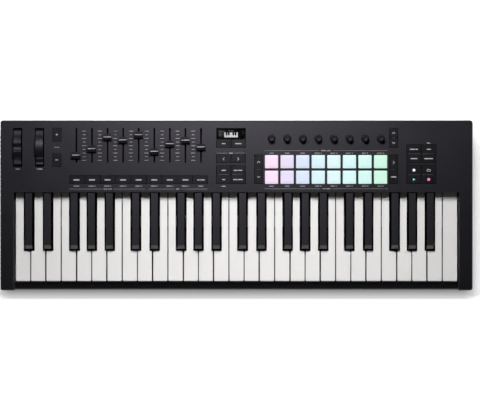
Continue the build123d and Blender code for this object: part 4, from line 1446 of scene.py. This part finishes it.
@dataclass
class Buttons(Assembly):
    """The ten rubber button panels with their dividers, arrows, signs and lights."""

    columns: int = 9
    pitch: float = 24.0
    edge: float = 0.35
    led: Point2 = (9.3, 2.0)
    led_drop: float = 0.6
    sign_inset: float = 10.4
    plus: Point2 = (3.4, 0.7)
    minus: Point2 = (4.2, 0.8)
    transport_columns: Point2 = (273.4, 296.2)

    def build(self) -> None:
        """Dresses the panels and adds their marks."""
        for name in ("octave", "fader", "screen", "track", "mode", "bank", "page", "scene", "workflow",
                     "transport"):
            self.dress(f"{name}_buttons", BUTTON_RUBBER, self.edge, 2)
        self.octave_signs()
        self.fader_lights()
        self.words()
        self.arrows()
        self.transport()
        self.dividers()

    def marks(self, panel: str) -> Marks:
        """Starts marks on the upper face of a panel."""
        return Marks(self.top(f"{panel}_buttons"))

    def octave_signs(self) -> None:
        """Adds the plus and the minus."""
        low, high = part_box("octave_buttons")
        x = (low.x + high.x) / 2 / MM
        marks = self.marks("octave")
        marks.cross((x, high.y / MM - self.sign_inset), *self.plus)
        marks.cross((x, low.y / MM + self.sign_inset), *self.minus, False)
        marks.piece("octave_signs", WORD_LIGHT, "octave_buttons")

    def fader_lights(self) -> None:
        """Adds the bar light of each fader button, and the label of the last button."""
        middle = self.middle("fader_buttons")
        lights, label = self.marks("fader"), self.marks("fader")
        last = self.columns - 1
        places = [(middle.x + (number - last / 2) * self.pitch, middle.y - self.led_drop)
                  for number in range(self.columns)]
        for place in places[:last]:
            lights.bar(place, self.led)
        lights.piece("fader_button_lights", BAR_LIGHT, "fader_buttons")
        label.words(places[last], (4.0, 7.0), 1.4, 0.8)
        label.piece("fader_button_label", WORD_LIGHT, "fader_buttons")

    def each(self, what: str, finish: Finish, table: dict[str, Sequence[tuple]],
             draw: Callable[..., None]) -> None:
        """Adds one piece of marks to each panel of a table.

        Args:
            what: What the marks are, as the pieces' names say.
            finish: Their finish.
            table: The marks of each panel.
            draw: Draws one of them into the marks that it is given.
        """
        for panel, entries in table.items():
            marks = self.marks(panel)
            for entry in entries:
                draw(marks, *entry)
            marks.piece(f"{panel}_button_{what}", finish, f"{panel}_buttons")

    def words(self) -> None:
        """Adds a bar in the place of each word on the buttons, from its place and the bars' widths."""
        self.each("labels", WORD_LIGHT, {
            "screen": ((-19.8, 95.2, 5.6), (2.8, 95.2, 9.6)),
            "mode": ((-19.7, 54.0, 6.6), (2.2, 54.0, 6.2, 6.2), (-19.7, 39.8, 4.6), (2.2, 39.8, 6.6, 7.2)),
            "scene": ((242.2, 43.8, 8.0),),
            "workflow": ((273.4, 86.4, 7.6, 4.0), (296.2, 86.4, 6.0), (273.4, 72.1, 10.4),
                         (296.2, 72.1, 13.4)),
        }, lambda marks, x, y, *widths: marks.words((x, y), widths, 1.45, 0.9))

    def arrows(self) -> None:
        """Adds the arrows of the track, bank, page and scene buttons."""
        self.each("arrows", MARK_LIGHT, {
            "track": ((-19.8, 71.6, Way.LEFT), (2.6, 71.6, Way.RIGHT)),
            "bank": ((34.1, 66.7, Way.UP), (34.1, 43.8, Way.DOWN)),
            "page": ((242.2, 111.5, Way.UP), (242.2, 96.2, Way.DOWN)),
            "scene": ((242.2, 66.1, Way.RIGHT),),
        }, lambda marks, x, y, way: marks.arrow((x, y), way))

    def dividers(self) -> None:
        """Adds the short lines between the buttons of a panel, from their ends and their depth."""
        self.each("dividers", PANEL_INK, {
            "mode": ((-27.4, -10.8, 47.8), (-6.0, 10.3, 47.8)),
            "bank": ((31.3, 36.9, 55.4),),
            "page": ((239.7, 244.7, 104.2),),
            "scene": ((239.7, 244.7, 55.4),),
            "workflow": ((264.6, 283.4, 79.4), (286.6, 303.8, 79.4)),
            "transport": ((264.6, 283.4, 47.4), (286.6, 303.8, 47.4)),
        }, lambda marks, left, right, y: marks.line(left, right, y, 0.7))

    def transport(self) -> None:
        """Adds the dot, the loop, the play triangle and the record dot."""
        left, right = self.transport_columns
        path = [(-0.6, 1.3)]
        for side, angles in ((1.4, range(90, -91, -18)), (-1.4, range(270, 89, -18))):
            path += [(side + x, y) for angle in angles for x, y in turned([(1.3, 0.0)], angle)]
        loop = (band(path[:-2], 0.6), [(-1.7, 0.2), (0.1, 1.3), (-1.7, 2.4)])
        for name, finish, centre, outlines in (
            ("dot", BRIGHT_LIGHT, (left, 54.3), (disc((0, 0), 2.1),)),
            ("loop", MARK_LIGHT, (right, 54.0), loop),
            ("play", PLAY_LIGHT, (left, 40.0), ([(-1.5, -2.1), (2.2, 0.0), (-1.5, 2.1)],)),
            ("record", RECORD_LIGHT, (right, 40.0), (disc((0, 0), 2.3),)),
        ):
            marks = self.marks("transport")
            for outline in outlines:
                marks.plate(shifted(outline, centre))
            marks.piece(f"transport_{name}", finish, "transport_buttons")


@dataclass
class Wheels(Assembly):
    """The pitch and modulation wheels and their bracket."""

    edge: float = 0.7

    def build(self) -> None:
        """Dresses the wheels."""
        for node in ("pitch_wheel", "mod_wheel"):
            self.dress(node, WHEEL_RUBBER, self.edge, 3)
        self.dress("wheel_bracket", CHASSIS_PLASTIC, 0.3)


@dataclass
class Display(Assembly):
    """The display below its lens, with a generic picture of keys and a caption bar."""

    keys: int = 6
    key_size: Point2 = (3.1, 7.6)
    key_pitch: float = 3.5
    notch: Point2 = (2.4, 4.4)
    keys_drop: float = 2.2
    caption_rise: float = 4.4
    relief: float = 0.05

    def build(self) -> None:
        """Dresses the display and draws its picture."""
        self.dress("display_module", DISPLAY_GLASS)
        self.dress("display_lens", LENS, 0.2)
        self.dress("control_board", BOARD)
        middle, top = self.middle("display_module"), self.top("display_module")
        picture = Marks(top, self.relief)
        for number in range(self.keys):
            x = middle.x + (number + 0.5 - self.keys / 2) * self.key_pitch
            self.key(picture, (x, middle.y - self.keys_drop), number not in (0, 3), number not in (2, 5))
        picture.piece("display_picture", DISPLAY_LIGHT, "case")
        caption = Marks(top, self.relief)
        caption.words((middle.x, middle.y + self.caption_rise), (3.0, 4.2), 1.2)
        caption.piece("display_caption", DISPLAY_DIM, "case")

    def key(self, picture: Marks, centre: Point2, left: bool, right: bool) -> None:
        """Draws one key, notched at the top where a black key stands beside it.

        Args:
            picture: The marks to add to.
            centre: Its middle.
            left: Whether it is notched at its left.
            right: Whether it is notched at its right.
        """
        half, high = self.key_size[0] / 2, self.key_size[1] / 2
        cut, drop = self.notch[0] / 2, self.notch[1]
        points = [(-half, -high), (half, -high)]
        notch = [(half, high - drop), (half - cut, high - drop), (half - cut, high)]
        points += notch if right else [(half, high)]
        points += [(-x, y) for x, y in reversed(notch)] if left else [(-half, high)]
        picture.plate(shifted(points, centre))


@dataclass
class RearSockets(Assembly):
    """The sockets in the rear wall, with the pedal socket's bush and the contacts of the other two."""

    midi_radius: float = 6.8
    pin_circle: float = 3.9
    pin_radii: Point2 = (0.95, 0.6)
    pin_angles: tuple[int, ...] = (0, 45, 90, 135, 180)
    pedal_radius: float = 3.25
    bush: Point2 = (1.5, 1.6)
    usb_contacts: int = 6

    def build(self) -> None:
        """Dresses the sockets and adds their contacts."""
        self.dress("midi_socket", COMPONENT_PLASTIC, 0.3)
        self.dress("pedal_socket", COMPONENT_PLASTIC, 0.2)
        self.dress("usb_socket", SOCKET_STEEL, 0.15)
        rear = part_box("top_case")[1].y / MM
        midi = self.mount("midi_out")
        self.pins(midi, rear)
        pedal = self.mount("pedal_jack")
        bush = Shape()
        outer = self.pedal_radius + self.bush[0]
        bush.tube((pedal[0], rear - 0.1, pedal[2]), outer, self.pedal_radius, self.bush[1])
        bush.piece("pedal_bush", SOCKET_STEEL, "case")
        usb = self.middle("usb_socket")
        contacts = Shape()
        for at in range(self.usb_contacts):
            x = usb.x - (self.usb_contacts - 1) / 2 + at
            contacts.block((x - 0.25, rear - 5.4, usb.z + 0.35), (x + 0.25, rear - 1.8, usb.z + 0.42))
        contacts.piece("usb_contacts", CONTACT_GOLD, "case")

    def mount(self, name: str) -> Point3:
        """Gives a mount's place in millimetres, from the record."""
        found = next(each for each in self.frame["record"]["mounts"] if each["name"] == name)
        return tuple(value / MM for value in found["pos_m"])

    def pins(self, centre: Point3, rear: float) -> None:
        """Adds the insulator face, the five contact tubes and the key of the round socket.

        Args:
            centre: The socket's mount.
            rear: Depth of the rear wall's face.
        """
        face = Shape()
        face.tube((centre[0], rear - 9.0, centre[2]), self.midi_radius - 0.05, 0.3, 1.2)
        face.piece("midi_insulator", CHASSIS_PLASTIC, "case")
        contacts = Shape()
        for angle in self.pin_angles:
            (x, z), = turned([(self.pin_circle, 0.0)], -angle)
            contacts.tube((centre[0] + x, rear - 6.6, centre[2] + z), *self.pin_radii, 2.6, 16)
        contacts.piece("midi_contacts", SOCKET_STEEL, "case")
        key = Shape()
        key.block((centre[0] - 1.0, rear - 8.9, centre[2] + 5.4),
                  (centre[0] + 1.0, rear - 0.6, centre[2] + 6.7))
        key.piece("midi_key", COMPONENT_PLASTIC, "case")


# Studio
@dataclass
class Studio:
    """The floor, the lights, the white room and the camera, in metres and watts.

    Args:
        key_place: Middle of the main softbox.
        key_aim: The point that it faces.
        key_spread: How wide its light spreads, in degrees.
        card_place: Middle of the card that the deck mirrors.
        floor_radius: Radius of the floor.
        ambient: Level of the room's light.
        zenith: Level of the room overhead, as mirrors see it.
        horizon: Heights between which the room goes from white to that level.
        glow_level: Level of the floor's own white near the keyboard.
        glow_reach: Distances between which it grows to white.
        painted_shadow_levels: Levels of the floor's painted shadow in front, from far to near.
        painted_shadow_reach: Depths between which it goes from one to the other.
        painted_shadow_ends: Distances from the middle at which that painted shadow ends.
        painted_shadow_rear: Depths at which it ends below the case.
        view_width: Width of what the camera sees, at the height of view_height.
        view_centre: Middle of what it sees.
        view_distance: Its distance above that height.
    """

    key_place: Point3 = (-0.04, 1.16, 1.55)
    key_aim: Point3 = (0.0, -0.02, 0.05)
    key_size: Point2 = (0.5, 0.72)
    key_power: float = 4.2
    key_spread: float = 50.0
    card_place: Point3 = (-0.03, 0.48, 1.0)
    card_size: Point2 = (0.32, 0.15)
    card_power: float = 8.0
    card_colour: Colour = (1.0, 0.955, 1.1)
    floor_radius: float = 9.0
    ambient: float = 0.045
    zenith: float = 0.02
    horizon: Point2 = (0.12, 0.42)
    glow_level: float = 0.55
    glow_reach: Point2 = (0.38, 0.75)
    painted_shadow_levels: Point2 = (0.7, 0.18)
    painted_shadow_reach: Point2 = (-0.1465, -0.131)
    painted_shadow_ends: Point2 = (0.354, 0.37)
    painted_shadow_rear: Point2 = (0.11, 0.125)
    view_width: float = 0.7397
    view_centre: Point2 = (0.0054, -0.0071)
    view_height: float = 0.064
    view_distance: float = 4.0
    sensor: float = 36.0

    def build(self) -> None:
        """Sets up the whole studio."""
        self.floor()
        self.lights()
        self.room()
        self.camera()

    def lamp(self, name: str, place: Point3, aim: Point3, size: Point2, power: float) -> bpy.types.Object:
        """Adds a rectangular light.

        Args:
            name: Its name.
            place: Its middle.
            aim: The point that it faces.
            size: Width and depth.
            power: Power in watts.

        Returns:
            The light's object.
        """
        data = bpy.data.lights.new(name, "AREA")
        data.shape = "RECTANGLE"
        data.size, data.size_y = size
        data.energy = power
        made = placed(name, data)
        made.location = place
        made.rotation_euler = (Vector(aim) - Vector(place)).to_track_quat("-Z", "Y").to_euler()
        made.visible_camera = False
        return made

    def lights(self) -> None:
        """Adds the main softbox behind the keyboard, and the card overhead that the satin deck mirrors."""
        key = self.lamp("softbox_rear", self.key_place, self.key_aim, self.key_size, self.key_power)
        key.data.spread = math.radians(self.key_spread)
        key.visible_glossy = False
        below = (*self.card_place[:2], 0.0)
        card = self.lamp("card_overhead", self.card_place, below, self.card_size, self.card_power)
        card.visible_diffuse = False
        card.data.color = self.card_colour

    def floor(self) -> None:
        """Lays a plain white floor that keeps the shadow, with a white of its own for camera and mirrors,
        lowered into a painted shadow in front of and below the case.
        """
        shape = Shape()
        shape.prism(disc((0, 0), self.floor_radius / MM, 96), -20.0, -0.2)
        floor = placed("floor", shape.mesh("floor"))
        shader = Shader("floor_white")
        grain = shader.effect(Effect.GRAIN, Scale=300.0, Mottle_Scale=3.0)
        shader.wire(Base_Color=shader.blend(grain["Mottle"], (0.78, 0.78, 0.78), (0.8, 0.8, 0.8)),
                    Roughness=0.9, Specular_IOR_Level=0.0, Emission_Color=(1.0, 1.0, 1.0, 1.0),
                    Emission_Strength=self.glow(shader))
        floor.data.materials.append(shader.material)

    def glow(self, shader: Shader) -> Socket:
        """Lets the floor's own white grow away from the keyboard, where the softbox no longer reaches.

        A painted shadow: the floor's own white is lowered in a band along the front edge and below the case,
        so that the shadow there gets deeper towards the case.

        Args:
            shader: The floor's shader.

        Returns:
            The strength of the floor's own light.
        """
        place = shader.place()
        distance = shader.node("VectorMath", {0: place}, operation="LENGTH").outputs["Value"]
        axes = shader.split(place)
        sideways, forward = shader.math("ABSOLUTE", axes["X"]), axes["Y"]
        far, near = self.painted_shadow_reach
        around = shader.ramp(distance, self.glow_reach, (self.glow_level, 1.0))
        # Painted shadow: the floor's own white drops from far to near in front of the case.
        shade = shader.ramp(forward, (far, near), self.painted_shadow_levels, "LINEAR")
        beyond = shader.ramp(forward, (far - 0.001, far + 0.003), (1.0, 0.0))
        front = shader.math("MAXIMUM", shade, beyond)
        before = shader.between(shader.ramp(forward, self.painted_shadow_rear, (1.0, 0.0)), around, front)
        open_floor = shader.ramp(forward, (far - 0.004, near + 0.004), (1.0, 0.0))
        beside = shader.math("MAXIMUM", around, open_floor)
        level = shader.between(shader.ramp(sideways, self.painted_shadow_ends), before, beside)
        return shader.math("MULTIPLY", shader.seen(), level)

    def room(self) -> None:
        """Makes the room: seen as white low down and dim overhead, and an even grey for its light."""
        world = bpy.data.worlds.new("room")
        bpy.context.scene.world = world
        world.use_nodes = True
        room = Nodes(world.node_tree)
        height = room.split(room.node("TexCoord").outputs["Generated"])["Z"]
        shown = room.ramp(height, self.horizon, (1.0, self.zenith))
        level = room.node("Mix", {"Factor": room.seen(), "A": self.ambient, "B": shown}).outputs["Result"]
        room.feed(room.tree.nodes["Background"].inputs["Color"], level)

    def camera(self) -> None:
        """Adds the camera, straight overhead with a long lens."""
        data = bpy.data.cameras.new("camera")
        data.sensor_width = self.sensor
        data.lens = self.sensor * self.view_distance / self.view_width
        made = placed("camera", data)
        made.location = (*self.view_centre, self.view_height + self.view_distance)
        bpy.context.scene.camera = made


def main() -> None:
    """Loads the frame, builds every sub-assembly in order and sets up the studio."""
    logging.basicConfig(level=logging.INFO, format="%(message)s")
    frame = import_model()
    bpy.context.scene.view_settings.view_transform = "Standard"
    for assembly in (Case, Keybed, Knobs, Faders, Pads, Buttons, Wheels, Display, RearSockets):
        LOG.info("building %s", assembly.__name__)
        assembly(frame).build()
    Studio().build()


if __name__ == "__main__":
    main()
